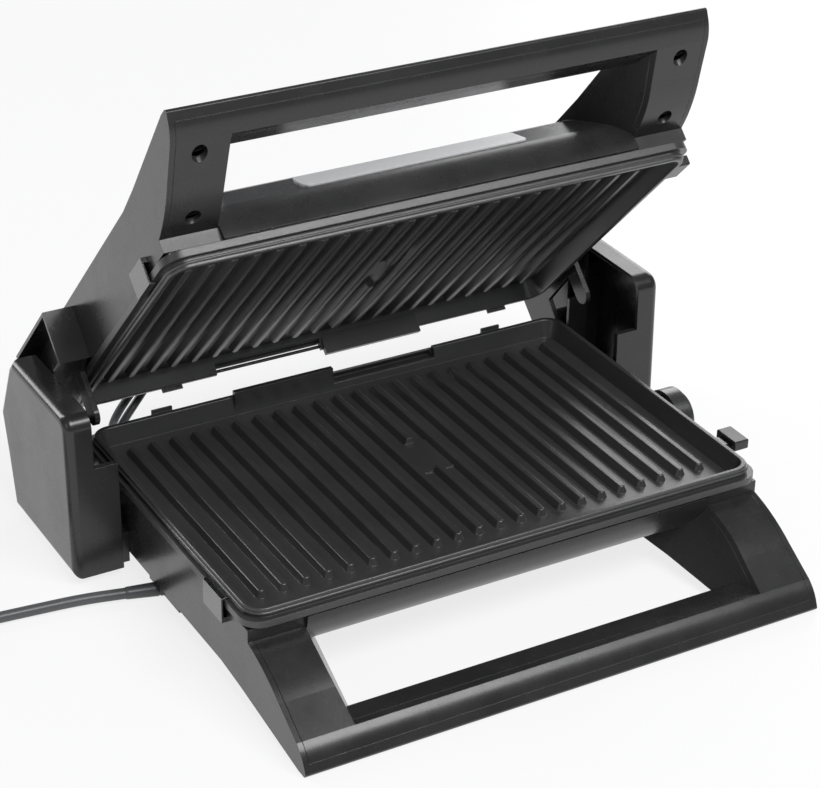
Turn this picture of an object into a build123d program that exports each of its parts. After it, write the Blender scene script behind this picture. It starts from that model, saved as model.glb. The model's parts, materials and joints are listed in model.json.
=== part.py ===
from build123d import *
import os
from math import cos, pi, radians, sin, sqrt, tan

# Electric contact grill: two ribbed plates in two hollow halves, a lid on a floating hinge.
# Millimetres, front towards -Y, up +Z, origin on the table under the middle of the grill.
# Each half is drawn in its own frame: x across, f forward from the middle of the plate,
# o outward from the plane of the rib tops, so that base and lid share their functions.

# Where the halves stand
plate_y = 8.09
rib_plane_height = 53.0
closed_gap = 14.0
hinge_back = 112.2
hinge_drop = 24.2
lid_open_angle = 46.33
lid_float = 30.0

# Cooking plates
rib_pitch = 13.0
rib_count = 22
rib_length = 168.6
rib_height = 4.0
rib_root = 6.6
rib_draft = 22.0
rib_rounding = 0.9
rim_half = rib_count * rib_pitch / 2 + 12
rim_front = 107.5
rim_rear = 100.0
rim_height = 6.5
rim_corner = 11.0
rim_lip = 3.0
rim_draft = 18.0
rim_rounding = 0.9
flange_overhang = 3.3
flange_top = 1.5
flange_bottom = 2.5
pan_inset = 3.5
pan_thickness = 3.0
pad_length = 33.0
pad_middle = -1.0
pad_drop = 3.2
baffle_height = 10.5
baffle_left = -66.0
baffle_right = -2.0
baffle_thickness = 3.2
spout_left = -1.0
spout_right = 67.5
tab_inner = rim_half - 52
tab_outer = rim_half - 39.4
tab_height = 8.4
tab_shift = 14.0

# Shells
seam = 3.6
wall = 3.0
side_clearance = 1.3
body_depth = 41.0
body_rear = 105.0
rear_rounding = 29.0
wing_front = 107.5
pilaster_reach = 16.0
pilaster_width = 14.0
frame_level = 14.0
pilaster_rows = (-80.0, 50.0)
front_wall = 1.5

# Handle profile, forward and outward from the rib plane
face_root = (107.5, 10.8)
face_bend = (122.5, 15.6)
face_knee = (142.0, 26.0)
face_edge = (161.0, 37.6)
nose_bend = (165.3, 41.6)
nose_seam = (168.4, 46.2)
nose_tip = (170.4, 50.8)
sole_bend = (169.9, 52.3)
sole_front = (168.4, 53.0)
sole_rear = (163.0, 53.0)
skin_break = (97.5, 43.4)
skin_flat = (75.0, 41.0)
cover_step = (-1.4, 2.7)
cover_inset = 3.2
cover_gap = 0.15
bar_rear = (143.0, 39.5)

# Front roll between the handle wings
roll_half = rim_half - 30.5
roll_top = (110.4, 3.6)
roll_bend = (107.6, 14.5)
roll_low = (101.5, 23.5)
roll_foot = (84.0, 36.9)
roll_sweep = (75.5, 40.2)
roll_end = (66.0, 41.0)
window_taper = 27.0
window_plane = (135.3, 19.3)
window_slope = 26.0

# Screws
post_x = rim_half - 14.2
post_radius = 4.6
cover_boss_radius = 5.0
head_sink = 0.7
post_front = 154.1
post_back = 119.7
well_radius = 4.3
screw_head_radius = 3.5
screw_head = 2.2
screw_radius = 1.5
screw_clearance = 0.05

# Hinge housings and lid arms
arm_inner = rim_half + 3.7
arm_thickness = 3.0
ear_outer = arm_inner + 16.3
ear_front = 42.0
ear_rear = 110.0
ear_low = 5.0
ear_high = 36.0
ear_wall = 2.0
tongue_front = 53.0
tongue_width = 12.0
tongue_reach = 28.3
boss_radius = 11.0
leg_radius = 13.8
pin_radius = 4.0
pin_clearance = 0.05
cheek_inner = ear_outer + 0.8
cheek_outer = cheek_inner + 15
cheek_skin = 2.5
block_inner = arm_inner + 3.3
block_rear = 96.0
notch_floor = 18.0
housing_low = 48.0
housing_front_low = 38.5
housing_front_high = 41.5
housing_corner = 9.0
housing_rounding = 5.0
mouth_rear = 98.0
slider_half_width = 9.0
slider_half_height = 13.0
slider_clearance = 0.3

# Feet
foot_inner = rim_half - 27
foot_outer = rim_half - 3
foot_pad_height = 1.8
foot_pad_radius = 6.0
foot_rows = (-7.5, -80.0)
foot_half_length = 19.5

# Controls
knob_forward = 14.5
knob_out = 11.0
knob_radius = 17.0
knob_inner = rim_half + 3.9
knob_outer = knob_inner + 13.1
shaft_radius = 3.0
button_front = 72.0
button_rear = 54.0
button_inner = rim_half + 13.5
button_outer = button_inner + 10
button_top = 1.0
button_low = 7.0
button_travel = 3.5

# Mains cord, coil and plug
cord_radius = 3.15
relief_radius = 4.2
relief_length = 20.0
coil_pitch = 6.9
coil_middle_radius = 35.3
coil_turns = 3.25
coil_centre = (-rim_half - 135, plate_y + 67.55)
coil_height = 4.5
tail_length = 36.0
plug_length = 38.0
plug_half = 11.8

# Inner pieces
sheet = 1.4
foil = 0.8
ledge_opening_x = rim_half - 33
ledge_opening_front = 88.0
ledge_opening_rear = 86.0
tray_half = rim_half - 37
tray_front = 82.0
tray_rear = 80.0
tray_edge = 10.0
tray_bottom = 18.0
element_radius = 3.25
element_level = 12.45
thermostat_inner = rim_half - 31
thermostat_outer = rim_half - 5
thermostat_rear = 2.0
thermostat_front = 27.0
thermostat_low = 26.0
bush_radius = 3.8
spring_seat_x = rim_half - 24.6
nose_tip_x = rim_half - 4.2
clip_sheet = 1.0
clip_rear = 62.0
clip_front = 84.0
clip_low = 12.0

# Bottom cover
opening_half = rim_half - 32
opening_front = 58.0
opening_rear = 74.0
ledge = 9.0
bottom_thickness = 1.6
bottom_gap = 0.3

# Housings, arms and link lead
housing_screw_rows = (-65.0, -47.0)
housing_screw_level = 33.0
arm_screw_rows = (-62.0, -94.0)
arm_screw_level = 20.0
housing_high = 50.5
housing_rear = 142.7
channel_half = 9.3
base_lead_x = 22.5 - rim_half
base_lead_level = 11.5
lid_lead_x = rim_half - 57
lid_lead_level = 10.0
grommet_radius = 6.0
grommet_lip = 2.0
strand_radius = 2.4
foot_pad_rows = (4.0, -80.0)
trim_half = 67.0
trim_height = 18.0
trim_thickness = 1.0
relief_root = 8.0
layer_rise = 7.4
coil_steps = 13
plug_neck = 14.0

flange_half = rim_half + flange_overhang
flange_front = rim_front + flange_overhang
flange_rear = rim_rear + 1.5
body_half = flange_half - side_clearance
floor_level = rib_height
pan_bottom = floor_level + pan_thickness
skin_inner = body_depth - wall
frame_screw_x = body_half - wall - pilaster_reach / 2
hinge_y = plate_y + hinge_back
hinge_z = rib_plane_height + closed_gap - hinge_drop

# Plate latch, worked out from the button
latch_middle = (button_front + button_rear) / 2
nose_low = 8.2
nose_high = 9.8
lug_inner = rim_half - 7.4
lug_thickness = 2.0
carrier_inner = rim_half - 14
carrier_outer = rim_half - 11
latch_top = 7.6
latch_low = 10.2
latch_half = 8.0
latch_gap = 0.3
drop_outer = rim_half + 6.8
drop_thickness = 2.6
arm_top = 3.3
arm_low = 5.8

base_half = Plane(origin=(0, plate_y, rib_plane_height), x_dir=(1, 0, 0), z_dir=(0, 0, -1))
hinge_plane = Plane(origin=(0, hinge_y, hinge_z), x_dir=(-1, 0, 0), z_dir=(0, 0, 1))
hinge_plane = hinge_plane.rotated((-lid_open_angle, 0, 0))
lid_half = Plane(
    origin=hinge_plane.from_local_coords(Vector(0, hinge_back, hinge_drop)),
    x_dir=hinge_plane.x_dir,
    z_dir=hinge_plane.z_dir,
)

os.makedirs("parts", exist_ok=True)


def save(part, node):
    """Label a finished piece and write it under its node's name."""
    part.label = node
    export_step(part, f"parts/{node}.step")


def flank(half, x=0.0):
    """Plane across a half at one x: its own x runs forward, its own y outward."""
    return Plane(origin=half.from_local_coords(Vector(x, 0, 0)), x_dir=half.y_dir, z_dir=half.x_dir)


def inward(half, level):
    """Plane at one outward level that faces the other half. Its x is mirrored."""
    origin = half.from_local_coords(Vector(0, 0, level))
    return Plane(origin=origin, x_dir=-half.x_dir, z_dir=-half.z_dir)


def block(half, xs, fs, levels, mode=Mode.ADD):
    """Straight-sided block of the current part between two x, two f and two levels."""
    with BuildSketch(half.offset(min(levels))) as outline:
        with Locations(((xs[0] + xs[1]) / 2, (fs[0] + fs[1]) / 2)):
            Rectangle(abs(xs[1] - xs[0]), abs(fs[1] - fs[0]))
    extrude(outline.sketch, amount=abs(levels[1] - levels[0]), mode=mode)


def post(half, x, f, levels, radius, mode=Mode.ADD):
    """Round post or hole of the current part along the outward direction."""
    with BuildSketch(half.offset(min(levels))) as outline:
        with Locations((x, f)):
            Circle(radius)
    extrude(outline.sketch, amount=abs(levels[1] - levels[0]), mode=mode)


def cross_rod(half, f, level, xs, radius, mode=Mode.ADD):
    """Round rod or hole of the current part along x."""
    with BuildSketch(flank(half, min(xs))) as outline:
        with Locations((f, level)):
            Circle(radius)
    extrude(outline.sketch, amount=abs(xs[1] - xs[0]), mode=mode)


def plate_outline(half, level, inset, corner):
    """Rounded outline of the plate at one level, drawn in from its rim."""
    with BuildSketch(half.offset(level)) as outline:
        with Locations((0, (rim_front - rim_rear) / 2)):
            RectangleRounded(2 * (rim_half - inset), rim_front + rim_rear - 2 * inset, corner)
    return outline.sketch


def grill_plate(half, right, node):
    """Cast plate with ribs, rim, flange, smooth pad, rear baffle, spout and latch lug."""
    outward = Axis(half.origin, half.z_dir)
    floor_inset = rim_lip + (rib_height + rim_height) * tan(radians(rim_draft))
    with BuildPart() as plate:
        extrude(plate_outline(half, -rim_height, 0, rim_corner), amount=rim_height + flange_bottom)
        extrude(
            plate_outline(half, -flange_top, -flange_overhang, rim_corner + 1),
            amount=flange_top + flange_bottom,
        )
        extrude(
            plate_outline(half, flange_bottom, pan_inset, rim_corner - pan_inset),
            amount=pan_bottom - flange_bottom,
        )
        with BuildSketch(inward(half, floor_level)):
            with Locations((0, (rim_front - rim_rear) / 2)):
                RectangleRounded(
                    2 * (rim_half - floor_inset), rim_front + rim_rear - 2 * floor_inset, 5
                )
        extrude(amount=rib_height + rim_height, taper=-rim_draft, mode=Mode.SUBTRACT)
        fillet(plate.edges().group_by(outward)[0], rim_rounding)
        with BuildSketch(inward(half, floor_level)):
            with GridLocations(rib_pitch, 1, rib_count, 1):
                SlotOverall(rib_length, rib_root, rotation=90)
        extrude(amount=rib_height, taper=rib_draft)
        fillet(plate.edges().filter_by_position(outward, -0.01, 0.01), rib_rounding)
        pad_xs = (right * rib_pitch / 2 - 0.75 * rib_pitch, right * rib_pitch / 2 + 0.75 * rib_pitch)
        pad_fs = (pad_middle - pad_length / 2, pad_middle + pad_length / 2)
        block(half, pad_xs, pad_fs, (-1, pad_drop), Mode.SUBTRACT)
        block(half, pad_xs, pad_fs, (pad_drop, floor_level + 0.1))
        wall_rear = rim_rear - rim_lip + 0.6
        block(
            half,
            (baffle_left, baffle_right),
            (-wall_rear, baffle_thickness - wall_rear),
            (-baffle_height, floor_level + 0.5),
        )
        block(half, (spout_left, spout_right), (-rim_rear - 2, 5 - rim_rear), (-9, 0.5), Mode.SUBTRACT)
        for side in (-1, 1):
            shift = tab_shift * (1 - right) / 2
            tab_xs = (side * tab_inner - shift, side * tab_outer - shift)
            block(half, tab_xs, (-flange_rear, 2.5 - rim_rear), (0.1 - rim_height, 0))
            block(half, tab_xs, (-flange_rear, -rim_rear - 0.15), (-tab_height, 0))
        lug_xs = (right * lug_inner, right * (lug_inner + lug_thickness))
        block(half, lug_xs, (latch_middle - 3, latch_middle + 3), (pan_bottom - 0.5, nose_high + 1.8))
        block(
            half,
            lug_xs,
            (latch_middle - 2, latch_middle + 2),
            (nose_low - 0.4, nose_high + 0.4),
            Mode.SUBTRACT,
        )
    save(plate.part, node)


def outside_face(half, x=0.0):
    """Outline of a half seen from its side: body, handle wing and rounded rear corner."""
    rear_low = rear_rounding * (1 - sqrt(0.5))
    with BuildSketch(flank(half, x)) as face:
        with BuildLine():
            Polyline(
                (-body_rear, body_depth - rear_rounding), (-body_rear, seam), (wing_front, seam), face_root
            )
            ThreePointArc(face_root, face_bend, face_knee)
            Line(face_knee, face_edge)
            ThreePointArc(face_edge, nose_bend, nose_seam)
            Line(nose_seam, nose_tip)
            ThreePointArc(nose_tip, sole_bend, sole_front)
            Polyline(sole_front, sole_rear, skin_break, skin_flat, (rear_rounding - body_rear, body_depth))
            ThreePointArc(
                (rear_rounding - body_rear, body_depth),
                (rear_low - body_rear, body_depth - rear_low),
                (-body_rear, body_depth - rear_rounding),
            )
        make_face()
    return face.sketch


def roll_face(half):
    """Rounded front of the body between the two handle wings."""
    with BuildSketch(flank(half)) as face:
        with BuildLine():
            Line((wing_front - 15, seam), roll_top)
            ThreePointArc(roll_top, roll_bend, roll_low)
            Line(roll_low, roll_foot)
            ThreePointArc(roll_foot, roll_sweep, roll_end)
            Polyline(roll_end, (roll_end[0] - 3, roll_end[1]), (wing_front - 15, seam))
        make_face()
    return face.sketch


def window_void(half):
    """Finger window between roll and handle bar, narrowing away from the plate."""
    low = 62.0
    slope = (face_edge[0] - bar_rear[0] + 19) / (low - bar_rear[1])
    with BuildPart() as void:
        with BuildSketch(flank(half)):
            with BuildLine():
                Line((roll_top[0], -2), roll_top)
                ThreePointArc(roll_top, roll_bend, roll_low)
                Line(roll_low, roll_foot)
                ThreePointArc(roll_foot, roll_sweep, roll_end)
                Polyline(
                    roll_end,
                    (roll_end[0], low),
                    (bar_rear[0] + slope * (low - bar_rear[1]), low),
                    bar_rear,
                    face_edge,
                    (face_edge[0], -2),
                    (roll_top[0], -2),
                )
            make_face()
        extrude(amount=roll_half + 2, both=True)
        lean = radians(window_slope)
        opening = Plane(
            origin=half.from_local_coords(Vector(0, *window_plane)),
            x_dir=half.x_dir,
            z_dir=half.z_dir * cos(lean) - half.y_dir * sin(lean),
        )
        with BuildSketch(opening):
            RectangleRounded(2 * roll_half + 5, 220, 12)
        extrude(amount=85, taper=window_taper, mode=Mode.INTERSECT)
    return void.part


def cover_face(half, grow=0.0):
    """Side view of the handle cover: a skin under the handle's inner face."""
    def under(point):
        return (point[0] + cover_step[0], point[1] + cover_step[1] + grow)

    with BuildSketch(flank(half)) as face:
        with BuildLine():
            ThreePointArc(face_root, face_bend, face_knee)
            Line(face_knee, face_edge)
            ThreePointArc(face_edge, nose_bend, nose_seam)
            Line(nose_seam, under(nose_seam))
            ThreePointArc(under(nose_seam), under(nose_bend), under(face_edge))
            Line(under(face_edge), under(face_knee))
            ThreePointArc(under(face_knee), under(face_bend), (face_root[0], under(face_root)[1] + 0.4))
            Line((face_root[0], under(face_root)[1] + 0.4), face_root)
        make_face()
    return face.sketch


def cover_solid(half, grow=0.0):
    """Handle cover without its bosses, or with grow the rebate that it lies in."""
    with BuildPart() as cover:
        extrude(cover_face(half, grow), amount=body_half - cover_inset + grow, both=True)
        add(window_void(half), mode=Mode.SUBTRACT)
        block(
            half, (-roll_half - 1, roll_half + 1), (wing_front - 2, roll_top[0] + 3), (0, 40), Mode.SUBTRACT
        )
    return cover.part


def cavity_face(half):
    """Side view of the hollow in a half, one wall inside its skin."""
    inner = rear_rounding - wall
    low = inner * (1 - sqrt(0.5))
    with BuildSketch(flank(half)) as face:
        with BuildLine():
            Polyline(
                (wall - body_rear, skin_inner - inner),
                (wall - body_rear, seam - 5),
                (wing_front - front_wall, seam - 5),
                (wing_front - front_wall, frame_level + 0.6),
                (roll_low[0] - wall, roll_low[1] - wall),
                (roll_foot[0] - 1.8, roll_foot[1] - 3),
                (roll_end[0], skin_inner),
                (wall + inner - body_rear, skin_inner),
            )
            ThreePointArc(
                (wall + inner - body_rear, skin_inner),
                (wall + low - body_rear, skin_inner - low),
                (wall - body_rear, skin_inner - inner),
            )
        make_face()
    return face.sketch


def wing_pocket_face(half):
    """Side view of the hollow inside a handle wing, under the handle cover."""
    with BuildSketch(flank(half)) as face:
        with BuildLine():
            Polyline(
                (wing_front + 2.5, face_root[1] + 2),
                face_bend,
                face_knee,
                (face_edge[0] - 2.5, face_edge[1]),
                (face_edge[0] - 2.5, sole_rear[1] - wall - 1),
                (wing_front + 2.5, skin_break[1] - wall + 1),
                (wing_front + 2.5, face_root[1] + 2),
            )
        make_face()
    return face.sketch


handle_posts = [(side * post_x, f) for side in (-1, 1) for f in (post_back, post_front)]
post_seats = {post_back: 24.0, post_front: 40.0}
post_starts = {post_back: 17.5, post_front: 36.6}


def skin_level(f):
    """Outward level of a wing's skin at one f."""
    share = (f - skin_break[0]) / (sole_rear[0] - skin_break[0])
    return skin_break[1] + share * (sole_rear[1] - skin_break[1])


def half_shell(half, right, foot_levels):
    """Hollow tub of one half with its handle wings, bar, window, pilasters and posts."""
    feet = [(side, f) for side in (-1, 1) for f in foot_rows] if foot_levels else []
    with BuildPart() as shell:
        extrude(outside_face(half), amount=body_half, both=True)
        extrude(roll_face(half), amount=roll_half, both=True)
        add(window_void(half), mode=Mode.SUBTRACT)
        for side, f in feet:
            block(
                half,
                (side * foot_inner, side * foot_outer),
                (f - foot_half_length, f + foot_half_length),
                (body_depth - 12, foot_levels[1] - foot_pad_height),
            )
        extrude(cavity_face(half), amount=body_half - wall, both=True, mode=Mode.SUBTRACT)
        for side, f in feet:
            block(
                half,
                (side * (foot_inner + wall), side * (foot_outer - wall)),
                (f - foot_half_length + wall, f + foot_half_length - wall),
                (body_depth - 14, foot_levels[1] - foot_pad_height - wall),
                Mode.SUBTRACT,
            )
        for side in (-1, 1):
            for f in pilaster_rows:
                block(
                    half,
                    (side * (body_half - wall - pilaster_reach), side * (body_half - wall + 0.5)),
                    (f - pilaster_width / 2, f + pilaster_width / 2),
                    (frame_level, skin_inner + 0.8),
                )
                post(
                    half,
                    side * frame_screw_x,
                    f,
                    (frame_level, frame_level + 12),
                    screw_radius,
                    Mode.SUBTRACT,
                )
        pocket = wing_pocket_face(half)
        reach = body_half - cover_inset - roll_half - wall
        for side in (-1, 1):
            start = roll_half + wall if side > 0 else -(body_half - cover_inset)
            extrude(
                pocket.moved(Location(half.x_dir * start)),
                amount=reach,
                mode=Mode.SUBTRACT,
            )
        for x, f in handle_posts:
            post(half, x, f, (post_seats[f] + cover_gap, skin_level(f) - 1), post_radius)
        add(cover_solid(half, cover_gap), mode=Mode.SUBTRACT)
        notch_fs = (latch_middle - latch_half - latch_gap, latch_middle + latch_half + latch_gap)
        block(
            half,
            (right * (body_half - wall - 1), right * (body_half + 1)),
            notch_fs,
            (seam - 1, latch_low + latch_gap),
            Mode.SUBTRACT,
        )
    return shell.part


def handle_cover(half, sunk_heads, node):
    """Skin over the inner side of the handle, with bosses that meet the shell's posts."""
    with BuildPart() as cover:
        add(cover_solid(half))
        for x, f in handle_posts:
            post(half, x, f, (post_starts[f], post_seats[f]), cover_boss_radius)
            if sunk_heads:
                post(half, x, f, (0, post_starts[f] + head_sink + screw_head), well_radius, Mode.SUBTRACT)
                post(half, x, f, (0, post_seats[f] + 1), screw_radius + 0.3, Mode.SUBTRACT)
            else:
                hole = screw_radius + screw_clearance
                post(half, x, f, (post_starts[f] + 1, post_seats[f] + 1), hole, Mode.SUBTRACT)
    save(cover.part, node)


def handle_screws(half, sunk_heads, node):
    """Four screws that hold a handle cover, from its face in the lid, from below in the base."""
    with BuildPart() as screws:
        for x, f in handle_posts:
            if sunk_heads:
                top = post_starts[f] + head_sink
                post(half, x, f, (top, top + screw_head), screw_head_radius)
                post(half, x, f, (top + screw_head, post_seats[f] + 7), screw_radius)
            else:
                low = skin_level(f) - 3.4
                post(half, x, f, (low, low + screw_head), screw_head_radius)
                post(half, x, f, (post_starts[f] + 2, low), screw_radius)
    save(screws.part, node)


def inner_frame(half, right, node):
    """Sheet frame that carries the plate's flange, the reflector and the latch spring."""
    outer = body_half - wall - 0.2
    front = wing_front - front_wall - 0.2
    rear = body_rear - wall - 0.2
    with BuildPart() as frame:
        block(half, (-outer, outer), (-rear, front), (flange_bottom, frame_level))
        block(
            half,
            (sheet - outer, outer - sheet),
            (sheet - rear, front - sheet),
            (flange_bottom - 1, frame_level - sheet),
            Mode.SUBTRACT,
        )
        block(
            half,
            (-ledge_opening_x, ledge_opening_x),
            (-ledge_opening_rear, ledge_opening_front),
            (frame_level - 3, frame_level + 1),
            Mode.SUBTRACT,
        )
        notch = latch_half + latch_gap
        block(
            half,
            (right * (outer - 3), right * (outer + 1)),
            (latch_middle - notch, latch_middle + notch),
            (flange_bottom - 1, latch_low + latch_gap),
            Mode.SUBTRACT,
        )
        block(
            half,
            (right * spring_seat_x, right * (spring_seat_x - sheet)),
            (latch_middle - 3.5, latch_middle + 3.5),
            (latch_top + 0.2, frame_level - sheet / 2),
        )
        if right > 0:
            block(
                half,
                (thermostat_inner - 6, outer + 1),
                (thermostat_rear - 3, thermostat_front + 3),
                (flange_bottom - 1, frame_level + 1),
                Mode.SUBTRACT,
            )
        for side in (-1, 1):
            for f in pilaster_rows:
                post(half, side * frame_screw_x, f, (0, frame_level + 1), screw_radius + 0.3, Mode.SUBTRACT)
    save(frame.part, node)


def frame_screws(half, node):
    """Four screws through a frame's ledge into the shell's pilasters."""
    seat = frame_level - sheet
    with BuildPart() as screws:
        for side in (-1, 1):
            for f in pilaster_rows:
                post(half, side * frame_screw_x, f, (seat - screw_head, seat), screw_head_radius)
                post(half, side * frame_screw_x, f, (seat, seat + 11), screw_radius - screw_clearance)
    save(screws.part, node)


def reflector(half, right, node):
    """Bright tray under the heating element, hung by its edge on the frame's ledge."""
    seat = frame_level - sheet
    with BuildPart() as tray:
        block(half, (-tray_half, tray_half), (-tray_rear, tray_front), (seat - foil, tray_bottom))
        block(
            half,
            (-tray_half - tray_edge, tray_half + tray_edge),
            (-tray_rear - tray_edge, tray_front + tray_edge),
            (seat - foil, seat),
        )
        block(
            half,
            (foil - tray_half, tray_half - foil),
            (foil - tray_rear, tray_front - foil),
            (seat - 3, tray_bottom - foil),
            Mode.SUBTRACT,
        )
        for x in (-80, 0, 80):
            block(
                half,
                (x - 2, x + 2),
                (-70, 70),
                (element_level + element_radius + 0.2, tray_bottom - foil / 2),
            )
        if right > 0:
            block(
                half,
                (tray_half + 0.05, tray_half + tray_edge + 1),
                (thermostat_rear - 3, thermostat_front + 3),
                (seat - 3, seat + 1),
                Mode.SUBTRACT,
            )
    save(tray.part, node)


def heating_element(half, node):
    """Tubular element in three flat loops, with a connecting pin at each end."""
    level_plane = half.offset(element_level)
    far = tray_half - 10
    turn = tray_half - 22
    with BuildPart() as element:
        with BuildLine(level_plane) as route:
            FilletPolyline(
                (far, -58),
                (-turn, -58),
                (-turn, -15),
                (60, -15),
                (60, 15),
                (-turn, 15),
                (-turn, 58),
                (far, 58),
                radius=12,
            )
        start = Plane(origin=route.wire() @ 0, z_dir=route.wire() % 0)
        with BuildSketch(start):
            Circle(element_radius)
        sweep(path=route.wire())
        for f in (-58, 58):
            cross_rod(half, f, element_level, (far - 1, tray_half - 4), 1.8)
    save(element.part, node)


def latch_bar(half, right, node):
    """Steel latch that the release button pushes inward, with the nose that holds the plate."""
    rear = latch_middle - latch_half
    front = latch_middle + latch_half
    with BuildPart() as bar:
        block(half, (right * carrier_inner, right * carrier_outer), (rear, front), (latch_top, latch_low))
        for fs in ((rear, rear + 3), (front - 3, front)):
            block(half, (right * carrier_inner, right * drop_outer), fs, (latch_top, latch_low))
        block(
            half,
            (right * (drop_outer - drop_thickness), right * drop_outer),
            (rear, front),
            (arm_top, latch_low),
        )
        block(
            half,
            (right * (drop_outer - 1), right * button_inner),
            (latch_middle - 4.5, latch_middle + 4.5),
            (arm_top, arm_low),
        )
        block(
            half,
            (right * (carrier_outer - 1), right * nose_tip_x),
            (latch_middle - 1.5, latch_middle + 1.5),
            (nose_low, nose_high),
        )
    save(bar.part, node)


def release_button(half, right, node):
    """Moulded head of the plate release, beside the plate's edge."""
    with BuildPart() as button:
        block(
            half,
            (right * button_inner, right * button_outer),
            (button_rear, button_front),
            (button_top, button_low),
        )
        fillet(button.edges(), 0.9)
    save(button.part, node)


def latch_spring(half, right, node):
    """Return spring of the latch between the frame's tab and the latch bar."""
    level = (latch_top + latch_low) / 2 + 0.2
    xs = (right * (spring_seat_x + 0.2), right * (carrier_inner - 0.2))
    with BuildPart() as spring:
        cross_rod(half, latch_middle, level, xs, 1.7)
        cross_rod(half, latch_middle, level, xs, 1.0, Mode.SUBTRACT)
    save(spring.part, node)


def plate_clip(half, right, node):
    """Steel clip that hooks over the plate's flange on the side away from the button."""
    left = -right
    inner = flange_half + 0.9
    outer = inner + clip_sheet
    fs = (clip_rear, clip_front)
    with BuildPart() as clip:
        block(half, (left * inner, left * outer), fs, (-flange_top - 0.2 - clip_sheet, clip_low))
        block(
            half,
            (left * (rim_half + 1.2), left * outer),
            fs,
            (-flange_top - 0.2 - clip_sheet, -flange_top - 0.2),
        )
        block(half, (left * body_half, left * outer), fs, (clip_low - 3, clip_low))
    save(clip.part, node)


def rear_hole(half, x, level, depth, radius, f, mode=Mode.ADD):
    """Round piece or hole of the current part along f, starting at one f."""
    start = Plane(
        origin=half.from_local_coords(Vector(x, f, level)), x_dir=half.x_dir, z_dir=half.y_dir
    )
    with BuildSketch(start) as outline:
        Circle(radius)
    extrude(outline.sketch, amount=depth, mode=mode)


def lead_grommet(half, x, level, node):
    """Rubber grommet in a rear wall where the link lead goes in."""
    with BuildPart() as grommet:
        rear_hole(half, x, level, 5, grommet_radius - 0.1, -body_rear - grommet_lip)
        rear_hole(half, x, level, grommet_lip - 0.2, grommet_radius + 1.5, -body_rear - grommet_lip)
    save(grommet.part, node)


# Base shell
base_plate_rows = (-69.0, 53.0)
bottom_screws = [(side * (opening_half - ledge / 2), f) for side in (-1, 1) for f in base_plate_rows]
cord_exit = Vector(-foot_outer, plate_y + 10.9, relief_radius + 0.2)
cord_heading = Vector(-0.973, 0.2308, 0).normalized()
exit_plane = Plane(origin=cord_exit, x_dir=(0, 0, 1), z_dir=cord_heading)

base_tub = half_shell(base_half, 1, (body_depth, rib_plane_height))
with BuildPart() as base_shell:
    add(base_tub)
    block(
        base_half,
        (-opening_half, opening_half),
        (-opening_rear, opening_front),
        (body_depth - bottom_thickness, body_depth + 2),
        Mode.SUBTRACT,
    )
    block(
        base_half,
        (ledge - opening_half, opening_half - ledge),
        (ledge - opening_rear, opening_front - ledge),
        (skin_inner - 1, body_depth),
        Mode.SUBTRACT,
    )
    for x, f in bottom_screws:
        post(base_half, x, f, (skin_inner - 6, skin_inner + 0.5), 4)
        post(base_half, x, f, (skin_inner - 6, body_depth), screw_radius, Mode.SUBTRACT)
    cross_rod(
        base_half,
        knob_forward,
        knob_out,
        (body_half - wall - 1, body_half + 1),
        bush_radius + 0.2,
        Mode.SUBTRACT,
    )
    for x, f in handle_posts:
        post(base_half, x, f, (post_seats[f], body_depth + 14), screw_radius + 0.3, Mode.SUBTRACT)
        post(base_half, x, f, (skin_level(f) - 3.4, body_depth + 14), well_radius, Mode.SUBTRACT)
    with BuildSketch(exit_plane.offset(-relief_root)):
        Circle(relief_radius + 0.1)
    extrude(amount=relief_root + 10, mode=Mode.SUBTRACT)
    for side in (-1, 1):
        for f in housing_screw_rows:
            xs = (side * (body_half - wall - 1), side * (body_half + 1))
            cross_rod(base_half, f, housing_screw_level, xs, screw_radius + 0.3, Mode.SUBTRACT)
    rear_hole(base_half, base_lead_x, base_lead_level, 5, grommet_radius, -body_rear - 1, Mode.SUBTRACT)
save(base_shell.part, "base_shell")

# Bottom cover with vent slots, and its screws
with BuildPart() as base_bottom_cover:
    block(
        base_half,
        (bottom_gap - opening_half, opening_half - bottom_gap),
        (bottom_gap - opening_rear, opening_front - bottom_gap),
        (body_depth - bottom_thickness, body_depth),
    )
    for x, f in bottom_screws:
        post(base_half, x, f, (skin_inner, body_depth + 1), screw_radius + 0.3, Mode.SUBTRACT)
    with BuildSketch(base_half.offset(skin_inner)):
        with GridLocations(12, 60, 12, 2):
            SlotOverall(40, 4, rotation=90)
    extrude(amount=wall + 1, mode=Mode.SUBTRACT)
save(base_bottom_cover.part, "base_bottom_cover")

with BuildPart() as bottom_cover_screws:
    for x, f in bottom_screws:
        post(base_half, x, f, (body_depth, body_depth + screw_head - 0.4), screw_head_radius)
        post(base_half, x, f, (skin_inner - 5, body_depth), screw_radius - screw_clearance)
save(bottom_cover_screws.part, "bottom_cover_screws")

# Lid shell
lid_tub = half_shell(lid_half, -1, None)
with BuildPart() as lid_shell:
    add(lid_tub)
    for x, f in handle_posts:
        hole = screw_radius + screw_clearance
        post(lid_half, x, f, (post_seats[f], post_seats[f] + 8), hole, Mode.SUBTRACT)
    for side in (-1, 1):
        for f in arm_screw_rows:
            xs = (side * (body_half - wall - 1), side * (body_half + 1))
            cross_rod(lid_half, f, arm_screw_level, xs, screw_radius + 0.3, Mode.SUBTRACT)
    rear_hole(lid_half, lid_lead_x, lid_lead_level, 5, grommet_radius, -body_rear - 1, Mode.SUBTRACT)
save(lid_shell.part, "lid_shell")

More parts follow.
